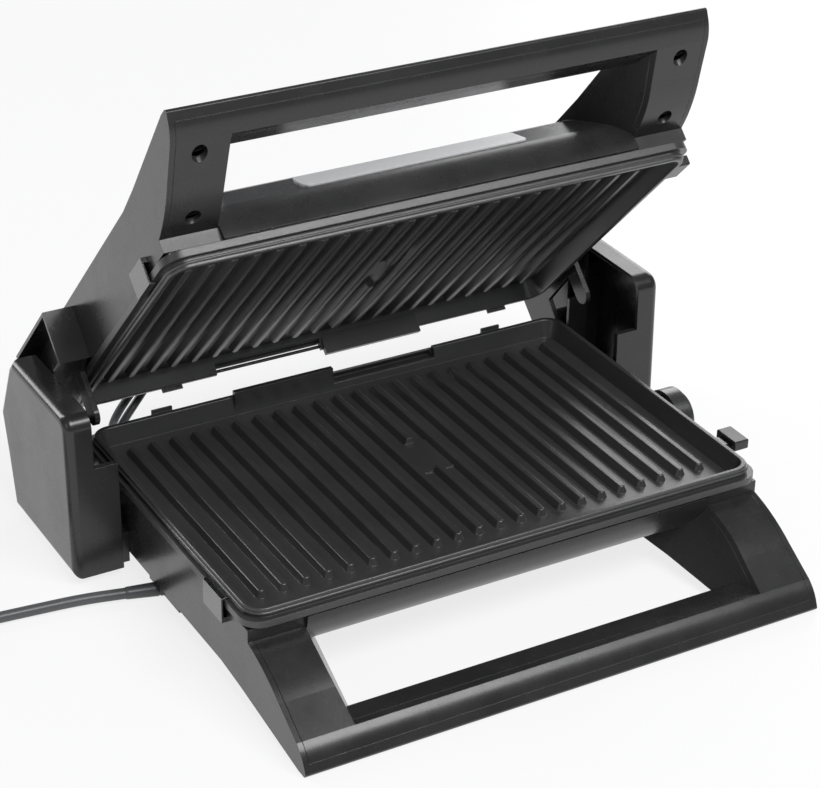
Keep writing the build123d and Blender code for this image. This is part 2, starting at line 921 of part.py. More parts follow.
# Plain bright trim on the lid's front roll
facet_rise = roll_foot[1] - roll_low[1]
facet_run = roll_low[0] - roll_foot[0]
facet_length = sqrt(facet_rise**2 + facet_run**2)
facet_normal = lid_half.y_dir * (facet_rise / facet_length) + lid_half.z_dir * (facet_run / facet_length)
facet_middle = Vector(0, (roll_low[0] + roll_foot[0]) / 2, (roll_low[1] + roll_foot[1]) / 2)
with BuildPart() as lid_trim_plate:
    facet = Plane(
        origin=lid_half.from_local_coords(facet_middle), x_dir=lid_half.x_dir, z_dir=facet_normal
    )
    with BuildSketch(facet):
        RectangleRounded(2 * trim_half, trim_height, 3)
    extrude(amount=trim_thickness)
save(lid_trim_plate.part, "lid_trim_plate")

# Pieces that both halves share, base first
for half, right, name, level in ((base_half, 1, "base", "lower"), (lid_half, -1, "lid", "upper")):
    grill_plate(half, right, f"{level}_plate")
    handle_cover(half, name == "lid", f"{name}_handle_cover")
    handle_screws(half, name == "lid", f"{name}_handle_screws")
    inner_frame(half, right, f"{name}_inner_frame")
    frame_screws(half, f"{name}_frame_screws")
    reflector(half, right, f"{level}_reflector")
    heating_element(half, f"{level}_heating_element")
    latch_bar(half, right, f"{level}_latch_bar")
    release_button(half, right, f"{level}_release_button")
    latch_spring(half, right, f"{level}_latch_spring")
    plate_clip(half, right, f"{level}_plate_clip")
lead_grommet(base_half, base_lead_x, base_lead_level, "base_lead_grommet")
lead_grommet(lid_half, lid_lead_x, lid_lead_level, "lid_lead_grommet")

# Thermostat, its shaft and the knob
with BuildPart() as thermostat:
    block(
        base_half,
        (thermostat_inner, thermostat_outer),
        (thermostat_rear, thermostat_front),
        (pan_bottom + 0.8, thermostat_low),
    )
    cross_rod(base_half, knob_forward, knob_out, (thermostat_outer - 1, body_half + 0.5), bush_radius)
    bore = shaft_radius + pin_clearance
    cross_rod(base_half, knob_forward, knob_out, (thermostat_inner + 6, body_half + 2), bore, Mode.SUBTRACT)
save(thermostat.part, "thermostat")

with BuildPart() as knob_shaft:
    xs = (thermostat_inner + 6.2, knob_outer - 4)
    cross_rod(base_half, knob_forward, knob_out, xs, shaft_radius)
save(knob_shaft.part, "knob_shaft")

with BuildPart() as control_knob:
    cross_rod(base_half, knob_forward, knob_out, (knob_inner, knob_outer - 3), knob_radius)
    cross_rod(base_half, knob_forward, knob_out, (knob_outer - 4, knob_outer), knob_radius - 2.6)
    fillet(control_knob.edges().filter_by(GeomType.CIRCLE).group_by(Axis.X)[-1], 0.8)
    cross_rod(
        base_half, knob_forward, knob_out, (knob_inner - 1, knob_outer - 6), knob_radius - 2.2, Mode.SUBTRACT
    )
    cross_rod(base_half, knob_forward, knob_out, (knob_inner + 0.6, knob_outer - 5), shaft_radius + 3)
    xs = (knob_inner - 1, knob_outer - 3.8)
    cross_rod(base_half, knob_forward, knob_out, xs, shaft_radius + pin_clearance, Mode.SUBTRACT)
save(control_knob.part, "control_knob")

with BuildPart() as terminal_block:
    middle = 79 - rim_half
    block(base_half, (middle - 24, middle + 24), (-64, -46), (tray_bottom, tray_bottom + 12))
    with BuildSketch(base_half.offset(tray_bottom + 5)):
        with Locations((middle, -55)):
            with GridLocations(11, 1, 4, 1):
                Circle(2)
    extrude(amount=8, mode=Mode.SUBTRACT)
save(terminal_block.part, "terminal_block")

with BuildPart() as cord_clamp:
    inner_wall = wall - body_half
    block(base_half, (inner_wall, inner_wall + 9), (-10, 8), (22, 33))
    cross_rod(base_half, -1, 27.5, (inner_wall + 2, inner_wall + 12), cord_radius, Mode.SUBTRACT)
save(cord_clamp.part, "cord_clamp")

with BuildPart() as rubber_feet:
    for side in (-1, 1):
        for f in foot_pad_rows:
            x = side * (foot_inner + foot_outer) / 2
            levels = (rib_plane_height - foot_pad_height, rib_plane_height)
            post(base_half, x, f, levels, foot_pad_radius)
save(rubber_feet.part, "rubber_feet")

# Hinge housings, drawn in the base's frame
pivot_f = -hinge_back
pivot_level = hinge_drop - closed_gap

def housing_front(level):
    """Forward place of a housing's front face at one level: it leans back as it rises."""
    share = (housing_low - level) / (housing_low + housing_high)
    return -(housing_front_low + share * (housing_front_high - housing_front_low))


def cheek_face(x, inset, mouth=False):
    """Outline of a hinge housing's cheek seen from the side, or only its open front part."""
    top = (housing_front(-housing_high), -housing_high)
    with BuildSketch(flank(base_half, x)) as face:
        with BuildLine():
            Polyline(
                (housing_front(housing_low), housing_low),
                top,
                (-120, -housing_high),
                (-126, -44),
                (-housing_rear, -8.5),
                (-136, 15.7),
                (-128.5, housing_low),
                (housing_front(housing_low), housing_low),
            )
        make_face()
        corner = face.vertices().filter_by_position(Axis.Y, top[1] - 0.1, top[1] + 0.1).sort_by(Axis.X)[-1]
        fillet(corner, housing_corner)
        if inset > 0:
            offset(amount=-inset, kind=Kind.INTERSECTION)
        if mouth:
            with Locations((mouth_rear / 2 - mouth_rear, 0)):
                Rectangle(mouth_rear, 4 * housing_high, mode=Mode.INTERSECT)
    return face.sketch


def low_block(x):
    """Outline of the low part beside the base, seen from the side."""
    with BuildSketch(flank(base_half, x)) as face:
        with BuildLine():
            Polyline(
                (housing_front(-notch_floor), -notch_floor),
                (housing_front(housing_low), housing_low),
                (-block_rear, housing_low),
                (-block_rear, -notch_floor),
                (housing_front(-notch_floor), -notch_floor),
            )
        make_face()
    return face.sketch


def hinge_housing(side, node):
    """Side housing open towards the lid: a tall cheek with the slider's channel and a low block."""
    pivot_fs = (pivot_f - channel_half, pivot_f + channel_half)
    with BuildPart() as housing:
        extrude(cheek_face(side * cheek_inner, 0), amount=side * (cheek_outer - cheek_inner))
        outer_edges = housing.edges().filter_by_position(
            Axis.X, side * cheek_outer - 0.01, side * cheek_outer + 0.01
        )
        fillet(outer_edges, housing_rounding)
        extrude(low_block(side * block_inner), amount=side * (cheek_inner + 2 - block_inner))
        extrude(
            cheek_face(side * (cheek_inner + 2), cheek_skin),
            amount=side * (cheek_outer - cheek_inner - 2 - cheek_skin),
            mode=Mode.SUBTRACT,
        )
        extrude(
            cheek_face(side * (cheek_inner - 0.5), cheek_skin, mouth=True),
            amount=side * 3,
            mode=Mode.SUBTRACT,
        )
        block(
            base_half,
            (side * (block_inner - 1), side * cheek_inner),
            (cheek_skin - block_rear, -housing_front_high - cheek_skin),
            (-notch_floor - 1, housing_low - cheek_skin),
            Mode.SUBTRACT,
        )
        channel_xs = (side * (cheek_inner + 1), side * (cheek_outer - cheek_skin))
        stop = pivot_level + slider_half_height + slider_clearance
        channel_top = pivot_level - lid_float - slider_half_height - 2
        for f in (pivot_fs[0] - 2, pivot_fs[1]):
            block(base_half, channel_xs, (f, f + 2), (channel_top, stop + 2))
        block(base_half, channel_xs, (pivot_fs[0] - 2, pivot_fs[1] + 2), (stop, stop + 2))
        with BuildSketch(flank(base_half, side * (cheek_inner - 1))) as slot:
            with Locations((pivot_f, pivot_level - lid_float / 2)):
                slot_width = 2 * (pin_radius + 0.4)
                SlotOverall(lid_float + slot_width, slot_width, rotation=90)
        extrude(slot.sketch, amount=side * 4, mode=Mode.SUBTRACT)
        for f in housing_screw_rows:
            lug_xs = (side * body_half, side * (cheek_inner - 2))
            block(base_half, lug_xs, (f - 5, f + 5), (housing_screw_level - 5, housing_low - 1))
            hole = screw_radius + screw_clearance
            xs = (side * (body_half - 1), side * (body_half + 12))
            cross_rod(base_half, f, housing_screw_level, xs, hole, Mode.SUBTRACT)
    save(housing.part, node)


def hinge_slider(side, node):
    """Block that carries the hinge pin up and down in its housing's channel."""
    xs = (side * (cheek_inner + 2 + slider_clearance), side * (cheek_outer - cheek_skin - slider_clearance))
    with BuildPart() as slider:
        block(
            base_half,
            xs,
            (pivot_f - slider_half_width, pivot_f + slider_half_width),
            (pivot_level - slider_half_height, pivot_level + slider_half_height),
        )
        cross_rod(base_half, pivot_f, pivot_level, xs, pin_radius + pin_clearance, Mode.SUBTRACT)
    save(slider.part, node)


def hinge_pin(side, node):
    """Headed pin on the hinge axis, through a lid arm into its slider."""
    with BuildPart() as pin:
        head = arm_inner - 0.3
        xs = (side * head, side * (cheek_outer - cheek_skin - slider_clearance - 0.3))
        cross_rod(base_half, pivot_f, pivot_level, xs, pin_radius)
        cross_rod(base_half, pivot_f, pivot_level, (side * (head - 2), side * head), pin_radius + 2.4)
    save(pin.part, node)


def lid_arm(side, node):
    """Moulded arm on a side of the lid: hollow ear, guide tongue, leg and hinge boss."""
    tongue_mid = tongue_front + tongue_width / 2
    tongue_round = tongue_width / 2 - tongue_reach
    with BuildPart() as arm:
        with BuildSketch(flank(lid_half, side * arm_inner)) as plate:
            with BuildLine():
                Polyline(
                    (pivot_f - leg_radius, -hinge_drop),
                    (pivot_f - leg_radius, ear_low + 3),
                    (-ear_rear, ear_high),
                    (-ear_front, ear_high),
                    (-ear_front, ear_low),
                    (-tongue_front, ear_low - 3.6),
                    (-tongue_front, tongue_round),
                )
                ThreePointArc(
                    (-tongue_front, tongue_round),
                    (-tongue_mid, -tongue_reach),
                    (-tongue_front - tongue_width, tongue_round),
                )
                Polyline(
                    (-tongue_front - tongue_width, tongue_round),
                    (-tongue_front - tongue_width, -7.5),
                    (leg_radius + pivot_f + 1.5, -10),
                    (leg_radius + pivot_f, -hinge_drop),
                )
                ThreePointArc(
                    (leg_radius + pivot_f, -hinge_drop),
                    (pivot_f, -hinge_drop - leg_radius),
                    (pivot_f - leg_radius, -hinge_drop),
                )
            make_face()
        extrude(plate.sketch, amount=side * arm_thickness)
        block(lid_half, (side * body_half, side * ear_outer), (-ear_rear, -ear_front), (ear_low, ear_high))
        block(
            lid_half,
            (side * (arm_inner + arm_thickness), side * (ear_outer + 1)),
            (ear_wall - ear_rear, -ear_front - ear_wall),
            (ear_low + ear_wall, ear_high - ear_wall),
            Mode.SUBTRACT,
        )
        xs = (side * arm_inner, side * (cheek_inner - 1))
        cross_rod(lid_half, pivot_f, -hinge_drop, xs, boss_radius)
        bore_xs = (side * (arm_inner - 1), side * cheek_inner)
        cross_rod(lid_half, pivot_f, -hinge_drop, bore_xs, pin_radius + pin_clearance, Mode.SUBTRACT)
        for f in arm_screw_rows:
            hole = screw_radius + screw_clearance
            xs = (side * (body_half - 1), side * (arm_inner + arm_thickness + 1))
            cross_rod(lid_half, f, arm_screw_level, xs, hole, Mode.SUBTRACT)
    save(arm.part, node)


# In the lid's own frame x is mirrored, so its left arm stands at positive x
for name, side in (("left", -1), ("right", 1)):
    hinge_housing(side, f"{name}_hinge_housing")
    hinge_slider(side, f"{name}_hinge_slider")
    hinge_pin(side, f"{name}_hinge_pin")
    lid_arm(-side, f"{name}_lid_arm")

with BuildPart() as housing_screws:
    for side in (-1, 1):
        for f in housing_screw_rows:
            seat = body_half - wall
            head_xs = (side * (seat - screw_head), side * seat)
            cross_rod(base_half, f, housing_screw_level, head_xs, screw_head_radius)
            cross_rod(
                base_half, f, housing_screw_level, (side * seat, side * (body_half + 11)), screw_radius
            )
save(housing_screws.part, "housing_screws")

with BuildPart() as lid_arm_screws:
    for side in (-1, 1):
        for f in arm_screw_rows:
            seat = body_half - wall
            head_xs = (side * (seat - screw_head), side * seat)
            cross_rod(lid_half, f, arm_screw_level, head_xs, screw_head_radius)
            tip = arm_inner + arm_thickness - 0.2
            cross_rod(lid_half, f, arm_screw_level, (side * seat, side * tip), screw_radius)
save(lid_arm_screws.part, "lid_arm_screws")


def rounded_route(points):
    """Radii of a cord's route: 0.45 of the shorter run over the tangent of half the turn."""
    radii = []
    for before, corner, after in zip(points, points[1:], points[2:]):
        run_in = Vector(*corner) - Vector(*before)
        run_out = Vector(*after) - Vector(*corner)
        turn = radians(run_in.get_angle(run_out))
        radii.append(0.45 * min(run_in.length, run_out.length) / tan(turn / 2))
    return radii


def cord_tube(points, radius, name):
    """Tube along straight runs joined by tangent arcs."""
    radii = rounded_route(points)
    with BuildPart() as tube:
        with BuildLine() as route:
            FilletPolyline(*points, radius=radii)
        path = route.wire()
        with BuildSketch(Plane(origin=path @ 0, z_dir=path % 0)):
            Circle(radius)
        sweep(path=path)
    section = pi * radius**2
    print(name, "radii", [round(r, 1) for r in radii], "length", round(path.length, 1))
    print(name, "volume over section times length", round(tube.part.volume / section / path.length, 5))
    return tube.part


# Link lead from base to lid: two sleeved conductors through both rear walls
lid_end = lid_half.from_local_coords(Vector(lid_lead_x, -body_rear - grommet_lip, lid_lead_level))
base_end = base_half.from_local_coords(Vector(base_lead_x, -body_rear - grommet_lip, base_lead_level))
lid_back = lid_half.y_dir * -7
upper_strand = [
    (lid_end.X - 2.8, lid_end.Y, lid_end.Z),
    (lid_end.X - 2.8, lid_end.Y + lid_back.Y, lid_end.Z + lid_back.Z),
    (lid_end.X - 15, hinge_y + 24.95, hinge_z + 11.2),
    (base_end.X + 7, hinge_y + 17.95, hinge_z + 3.4),
    (base_end.X - 1.5, hinge_y + 6.45, base_end.Z + 2.5),
    (base_end.X - 1.5, base_end.Y, base_end.Z + 2.5),
]
lower_strand = [
    (lid_end.X + 2.8, lid_end.Y, lid_end.Z),
    (lid_end.X + 2.8, lid_end.Y + lid_back.Y, lid_end.Z + lid_back.Z),
    (lid_end.X - 9.5, hinge_y + 25.45, hinge_z + 6.8),
    (base_end.X + 11, hinge_y + 17.95, hinge_z - 2.2),
    (base_end.X + 1.5, hinge_y + 6.45, base_end.Z - 2.5),
    (base_end.X + 1.5, base_end.Y, base_end.Z - 2.5),
]
strands = [
    cord_tube(upper_strand, strand_radius, "upper strand"),
    cord_tube(lower_strand, strand_radius, "lower strand"),
]
with BuildPart() as link_lead:
    add(strands)
save(link_lead.part, "link_lead")

# Mains cord from the left foot, its coil, tie and plug
with BuildPart() as cord_strain_relief:
    with BuildSketch(exit_plane.offset(-relief_root + 0.5)):
        Circle(relief_radius)
    extrude(amount=relief_root - 0.5)
    with BuildSketch(exit_plane):
        Circle(relief_radius)
    with BuildSketch(exit_plane.offset(relief_length)):
        Circle(cord_radius + 0.3)
    loft()
save(cord_strain_relief.part, "cord_strain_relief")

relief_tip = cord_exit + cord_heading * relief_length
coil_outer = coil_middle_radius + coil_pitch * coil_turns / 4
coil_start = (coil_centre[0] + 2 * cord_radius, coil_centre[1] - coil_outer, coil_height)
cord_points = [
    (relief_tip.X, relief_tip.Y, relief_tip.Z),
    (relief_tip.X + 24 * cord_heading.X, relief_tip.Y + 24 * cord_heading.Y, relief_tip.Z),
    (cord_exit.X - 71.5, plate_y + 25.75, cord_radius + 0.05),
    (cord_exit.X - 101, coil_start[1], coil_height),
    coil_start,
]
save(cord_tube(cord_points, cord_radius, "mains cord"), "mains_cord")


def coil_point(turns):
    """Point of the coil's middle line after so many turns: in on one layer, out on the next."""
    reverse = coil_turns / 2
    radius = coil_outer - coil_pitch * (turns if turns < reverse else coil_turns - turns)
    share = min(1.0, max(0.0, (turns - reverse) / 0.5 + 0.5))
    angle = -pi / 2 - 2 * pi * turns
    return Vector(
        coil_centre[0] + radius * cos(angle),
        coil_centre[1] + radius * sin(angle),
        coil_height + layer_rise * share * share * (3 - 2 * share),
    )


def coil_heading(turns):
    """Direction of the coil at one point; level and square to the radius at both ends."""
    if turns <= 0:
        return Vector(-1, 0, 0)
    if turns >= coil_turns:
        return Vector(0, 1, 0)
    step = 0.002
    return (coil_point(turns + step) - coil_point(turns - step)).normalized()


coil_points = [coil_point(k * coil_turns / coil_steps) for k in range(coil_steps + 1)]
coil_headings = [coil_heading(k * coil_turns / coil_steps) for k in range(coil_steps + 1)]
coil_arcs = []
for k in range(coil_steps):
    near, far = coil_points[k], coil_points[k + 1]
    near_dir, far_dir = coil_headings[k], coil_headings[k + 1]
    chord = far - near
    both = near_dir + far_dir
    closing = 2 * (1 - near_dir.dot(far_dir))
    along = chord.dot(both)
    reach = (sqrt(along**2 + closing * chord.dot(chord)) - along) / closing
    coil_arcs.append((near, near_dir, (near + near_dir * reach + far - far_dir * reach) * 0.5, far, far_dir))

with BuildPart() as cord_coil:
    with BuildLine() as coil_route:
        Line(coil_start, coil_points[0])
        for near, near_dir, middle, far, far_dir in coil_arcs:
            TangentArc(near, middle, tangent=near_dir)
            TangentArc(far, middle, tangent=far_dir * -1)
        Line(coil_points[-1], coil_points[-1] + coil_headings[-1] * tail_length)
    coil_wire = coil_route.wire()
    with BuildSketch(Plane(origin=coil_wire @ 0, z_dir=coil_wire % 0)):
        Circle(cord_radius)
    sweep(path=coil_wire)
save(cord_coil.part, "cord_coil")

samples = 400
beads = [coil_wire @ (k / samples) for k in range(samples + 1)]
apart = int(samples * pi * coil_middle_radius / coil_wire.length)
least = min((beads[j] - beads[i]).length for i in range(samples + 1) for j in range(i + apart, samples + 1))
print("coil length", round(coil_wire.length, 1), "least gap", round(least - 2 * cord_radius, 2))

with BuildPart() as cord_tie:
    band_inner = coil_centre[1] + coil_outer - 1.5 * coil_pitch - cord_radius - 0.5
    band_outer = coil_centre[1] + coil_outer - 0.5 * coil_pitch + cord_radius + 0.5
    band_low = coil_height - cord_radius - 0.4
    band_high = coil_height + layer_rise + cord_radius + 0.4
    band_middle = ((band_inner + band_outer) / 2, (band_low + band_high) / 2)
    band_plane = Plane(origin=(coil_centre[0] - 3, 0, 0), x_dir=(0, 1, 0), z_dir=(1, 0, 0))
    with BuildSketch(band_plane):
        with Locations(band_middle):
            RectangleRounded(band_outer - band_inner + 1.6, band_high - band_low + 1.6, 3)
            RectangleRounded(band_outer - band_inner, band_high - band_low, 2.2, mode=Mode.SUBTRACT)
    extrude(amount=6)
save(cord_tie.part, "cord_tie")

plug_start = coil_points[-1] + coil_headings[-1] * tail_length
plug_plane = Plane(origin=plug_start, x_dir=(1, 0, 0), z_dir=(0, 1, 0))
with BuildPart() as mains_plug:
    with BuildSketch(plug_plane):
        Circle(cord_radius + 1.6)
    with BuildSketch(plug_plane.offset(plug_neck)):
        RectangleRounded(1.3 * plug_half, 1.3 * plug_half, 4)
    loft()
    with BuildSketch(plug_plane.offset(plug_neck)):
        RectangleRounded(1.3 * plug_half, 1.3 * plug_half, 4)
    with BuildSketch(plug_plane.offset(plug_neck + 6)):
        RectangleRounded(2 * plug_half, 2 * plug_half, 4)
    loft()
    with BuildSketch(plug_plane.offset(plug_neck + 6)):
        RectangleRounded(2 * plug_half, 2 * plug_half, 4)
    extrude(amount=plug_length - plug_neck - 6)
save(mains_plug.part, "mains_plug")

with BuildPart() as plug_pins:
    with BuildSketch(plug_plane.offset(plug_length)):
        with Locations((-6.35, 3), (6.35, 3)):
            Rectangle(1.6, 6.4)
    extrude(amount=16)
    with BuildSketch(plug_plane.offset(plug_length)):
        with Locations((0, -6)):
            Circle(2.4)
    extrude(amount=18)
save(plug_pins.part, "plug_pins")
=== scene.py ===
"""Electric contact grill with floating lid: finishes, cords and small parts around its solids."""

import json
from math import cos, pi, radians, sin

import bmesh
import bpy
from bpy.props import FloatProperty, FloatVectorProperty, IntProperty, PointerProperty
from mathutils import Matrix, Vector


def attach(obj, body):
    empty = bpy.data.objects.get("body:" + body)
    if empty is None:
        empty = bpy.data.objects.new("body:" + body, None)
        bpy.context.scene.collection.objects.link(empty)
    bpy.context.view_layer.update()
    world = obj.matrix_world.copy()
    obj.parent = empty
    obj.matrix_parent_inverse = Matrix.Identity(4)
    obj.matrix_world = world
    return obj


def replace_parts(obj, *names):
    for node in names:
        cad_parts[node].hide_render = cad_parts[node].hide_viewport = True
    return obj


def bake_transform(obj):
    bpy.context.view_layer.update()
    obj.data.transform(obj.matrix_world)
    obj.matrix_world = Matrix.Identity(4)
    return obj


bl_info = {
    "name": "Electric Contact Grill",
    "version": (1, 0, 0),
    "blender": (4, 5, 0),
    "location": "View3D > Sidebar > Grill",
    "description": "Dresses the packed grill with finishes, cords, screws and a studio",
    "category": "Object",
}

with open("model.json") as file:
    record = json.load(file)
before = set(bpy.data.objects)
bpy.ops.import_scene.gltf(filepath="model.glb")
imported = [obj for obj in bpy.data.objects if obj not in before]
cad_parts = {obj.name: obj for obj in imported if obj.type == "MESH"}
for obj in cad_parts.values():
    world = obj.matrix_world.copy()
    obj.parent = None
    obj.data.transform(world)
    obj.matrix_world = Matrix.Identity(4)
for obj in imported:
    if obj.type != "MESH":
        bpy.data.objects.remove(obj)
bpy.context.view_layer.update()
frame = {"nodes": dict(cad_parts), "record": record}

MM = 0.001

# Where the halves stand, in millimetres
PLATE_MIDDLE = 8.09
RIB_PLANE = 53.0
HINGE = Vector((0.0, 120.29, 42.8))
HINGE_BACK = 112.2
HINGE_DROP = 24.2
LID_OPEN = radians(46.33)

# Places of the handle screws in a half: across, forward, outward level of the seat
HANDLE_SCREWS = ((140.8, 119.7, 18.2), (140.8, 154.1, 37.3))
SCREW_SEAT_LIFT = 2.15

# Rim of a plate in its half, and the level of the bead on it
RIM_HALF_WIDTH, RIM_FRONT, RIM_REAR, RIM_CORNER = 155.0, 107.5, 100.0, 11.0
BEAD_LEVEL = -3.9
BEAD_ROOT = 0.8

# Share of the floor's own white where it is seen
FLOOR_GLOW = 0.8


def base_point(across, forward, outward):
    """Point of the base half in metres."""
    return Vector((across, PLATE_MIDDLE - forward, RIB_PLANE - outward)) * MM


def lid_way(across, forward, outward):
    """Direction of the lid half at rest."""
    tilt = Matrix.Rotation(-LID_OPEN, 3, "X")
    return (tilt @ Vector((-across, -forward, outward))).normalized()


def lid_point(across, forward, outward):
    """Point of the lid half at rest in metres."""
    tilt = Matrix.Rotation(-LID_OPEN, 3, "X")
    arm = Vector((-across, -(forward + HINGE_BACK), outward + HINGE_DROP))
    return (HINGE + tilt @ arm) * MM


# Settings


class GrillFinishSettings(bpy.types.PropertyGroup):
    body_colour: FloatVectorProperty(
        name="Body plastic", description="Colour of the moulded shells, handles and housings",
        subtype="COLOR", size=3, min=0, max=1, default=(0.019, 0.0191, 0.0195),
    )
    body_gloss: FloatProperty(
        name="Body roughness", description="Roughness of the satin body plastic",
        subtype="FACTOR", min=0.05, max=1, default=0.27,
    )
    grain_size: FloatProperty(
        name="Grain size", description="Width of one dimple of the moulded grain",
        subtype="DISTANCE", unit="LENGTH", min=0.0001, max=0.005, default=0.0006, precision=5,
    )
    knob_colour: FloatVectorProperty(
        name="Knob plastic", description="Colour of the temperature knob",
        subtype="COLOR", size=3, min=0, max=1, default=(0.028, 0.0281, 0.0287),
    )
    coating_colour: FloatVectorProperty(
        name="Plate coating", description="Colour of the non-stick coating",
        subtype="COLOR", size=3, min=0, max=1, default=(0.034, 0.0341, 0.0345),
    )
    coating_gloss: FloatProperty(
        name="Coating roughness", description="Roughness of the non-stick coating",
        subtype="FACTOR", min=0.05, max=1, default=0.33,
    )
    steel_colour: FloatVectorProperty(
        name="Sheet steel", description="Colour of plated clips, bars and frames",
        subtype="COLOR", size=3, min=0, max=1, default=(0.20, 0.20, 0.205),
    )
    trim_colour: FloatVectorProperty(
        name="Bright sheet", description="Colour of the trim plate and the reflectors",
        subtype="COLOR", size=3, min=0, max=1, default=(0.80, 0.80, 0.81),
    )
    rubber_colour: FloatVectorProperty(
        name="Rubber", description="Colour of feet, grommets and the cord tie",
        subtype="COLOR", size=3, min=0, max=1, default=(0.02, 0.02, 0.021),
    )
    jacket_colour: FloatVectorProperty(
        name="Cord jacket", description="Colour of the mains cord, its plug and the link lead",
        subtype="COLOR", size=3, min=0, max=1, default=(0.085, 0.087, 0.09),
    )
    insulator_colour: FloatVectorProperty(
        name="Insulator", description="Colour of the heat-resistant mouldings inside",
        subtype="COLOR", size=3, min=0, max=1, default=(0.62, 0.58, 0.50),
    )
    brass_colour: FloatVectorProperty(
        name="Plug pins", description="Colour of the plated pins",
        subtype="COLOR", size=3, min=0, max=1, default=(0.75, 0.62, 0.32),
    )


class GrillCordSettings(bpy.types.PropertyGroup):
    diameter: FloatProperty(
        name="Cord diameter", description="Outer diameter of the mains cord",
        subtype="DISTANCE", unit="LENGTH", min=0.004, max=0.012, default=0.0063, precision=4,
    )
    length: FloatProperty(
        name="Cord length", description="Length of the mains cord from the foot to its plug",
        subtype="DISTANCE", unit="LENGTH", min=0.5, max=2.0, default=0.9,
    )
    turn_points: IntProperty(
        name="Points in a turn", description="Control points in one turn of the coil",
        min=12, max=32, default=16,
    )
    strand_diameter: FloatProperty(
        name="Strand diameter", description="Diameter of each conductor of the link lead",
        subtype="DISTANCE", unit="LENGTH", min=0.003, max=0.007, default=0.0048, precision=4,
    )


class GrillScrewSettings(bpy.types.PropertyGroup):
    head_radius: FloatProperty(
        name="Head radius", description="Radius of a screw head",
        subtype="DISTANCE", unit="LENGTH", min=0.002, max=0.006, default=0.0034, precision=4,
    )
    head_height: FloatProperty(
        name="Head height", description="Height of a screw head",
        subtype="DISTANCE", unit="LENGTH", min=0.001, max=0.004, default=0.0021, precision=4,
    )
    recess_length: FloatProperty(
        name="Recess length", description="Length of each arm of the cross recess",
        subtype="DISTANCE", unit="LENGTH", min=0.001, max=0.006, default=0.0038, precision=4,
    )
    shank_radius: FloatProperty(
        name="Shank radius", description="Radius of the threaded part",
        subtype="DISTANCE", unit="LENGTH", min=0.0005, max=0.003, default=0.0014, precision=4,
    )


class GrillPlateSettings(bpy.types.PropertyGroup):
    bead_width: FloatProperty(
        name="Bead reach", description="How far the bead stands out of the rim",
        subtype="DISTANCE", unit="LENGTH", min=0.0003, max=0.003, default=0.0011, precision=4,
    )
    bead_rise: FloatProperty(
        name="Bead half height", description="Half the height of the bead",
        subtype="DISTANCE", unit="LENGTH", min=0.0003, max=0.003, default=0.0009, precision=4,
    )


class GrillStageSettings(bpy.types.PropertyGroup):
    azimuth: FloatProperty(
        name="Camera azimuth", description="Angle of the camera round the grill from its front",
        subtype="ANGLE", default=radians(-29.966),
    )
    elevation: FloatProperty(
        name="Camera elevation", description="Angle of the camera above the table",
        subtype="ANGLE", default=radians(28.922),
    )
    roll: FloatProperty(
        name="Camera roll", description="Turn of the camera about its own axis",
        subtype="ANGLE", default=radians(1.113),
    )
    place: FloatVectorProperty(
        name="Camera place", description="Where the camera stands",
        subtype="TRANSLATION", unit="LENGTH", size=3, default=(-0.59172, -1.01191, 0.74344),
    )
    lens: FloatProperty(
        name="Lens", description="Focal length on a 36 mm wide frame in millimetres",
        min=20, max=300, default=106.83,
    )
    floor_size: FloatProperty(
        name="Floor size", description="Width of the plain floor",
        subtype="DISTANCE", unit="LENGTH", min=2, max=60, default=24,
    )
    world_strength: FloatProperty(
        name="Sky light", description="Strength of the even light from all round",
        min=0, max=2, default=0.16,
    )


# Node helpers


class Nodes:
    """Short hand for building one shader node tree."""

    def __init__(self, tree):
        self.tree = tree

    def add(self, kind, **settings):
        node = self.tree.nodes.new(kind)
        for key, value in settings.items():
            setattr(node, key, value)
        return node

    def link(self, source, target):
        self.tree.links.new(source, target)

    def feed(self, value, socket):
        """Link another node's output to a socket, or set the socket to a fixed value."""
        if isinstance(value, bpy.types.NodeSocket):
            self.link(value, socket)
        else:
            socket.default_value = value

    def put(self, node, **values):
        """Feed the sockets of a node by name, with spaces written as underscores."""
        for key, value in values.items():
            self.feed(value, node.inputs[key.replace("_", " ")])
        return node

    def noise(self, vector, scale, detail=2.0, rough=0.5):
        node = self.add("ShaderNodeTexNoise")
        return self.put(node, Vector=vector, Scale=scale, Detail=detail, Roughness=rough).outputs["Fac"]

    def ramp(self, value, low, high, to_low=0.0, to_high=1.0):
        node = self.add("ShaderNodeMapRange")
        self.put(node, Value=value, From_Min=low, From_Max=high, To_Min=to_low, To_Max=to_high)
        return node.outputs["Result"]

    def maths(self, operation, first, second=0.5):
        node = self.add("ShaderNodeMath", operation=operation)
        for socket, value in zip(node.inputs, (first, second)):
            self.feed(value, socket)
        return node.outputs[0]

    def mix_colour(self, share, first, second):
        node = self.add("ShaderNodeMix", data_type="RGBA")
        for index, value in ((0, share), (6, first), (7, second)):
            self.feed(value, node.inputs[index])
        return node.outputs[2]

    def object_place(self):
        """Object coordinates, which all patterns use."""
        return self.add("ShaderNodeTexCoord").outputs["Object"]


def new_group(name, inputs, outputs):
    """Empty shader node group with named inputs and outputs, and its in and out nodes."""
    tree = bpy.data.node_groups.new(name, "ShaderNodeTree")
    kinds = {"value": "NodeSocketFloat", "colour": "NodeSocketColor", "vector": "NodeSocketVector"}
    for label, kind, default in inputs:
        socket = tree.interface.new_socket(label, in_out="INPUT", socket_type=kinds[kind])
        socket.default_value = default
    for label, kind in outputs:
        tree.interface.new_socket(label, in_out="OUTPUT", socket_type=kinds[kind])
    nodes = Nodes(tree)
    return nodes, nodes.add("NodeGroupInput").outputs, nodes.add("NodeGroupOutput").inputs


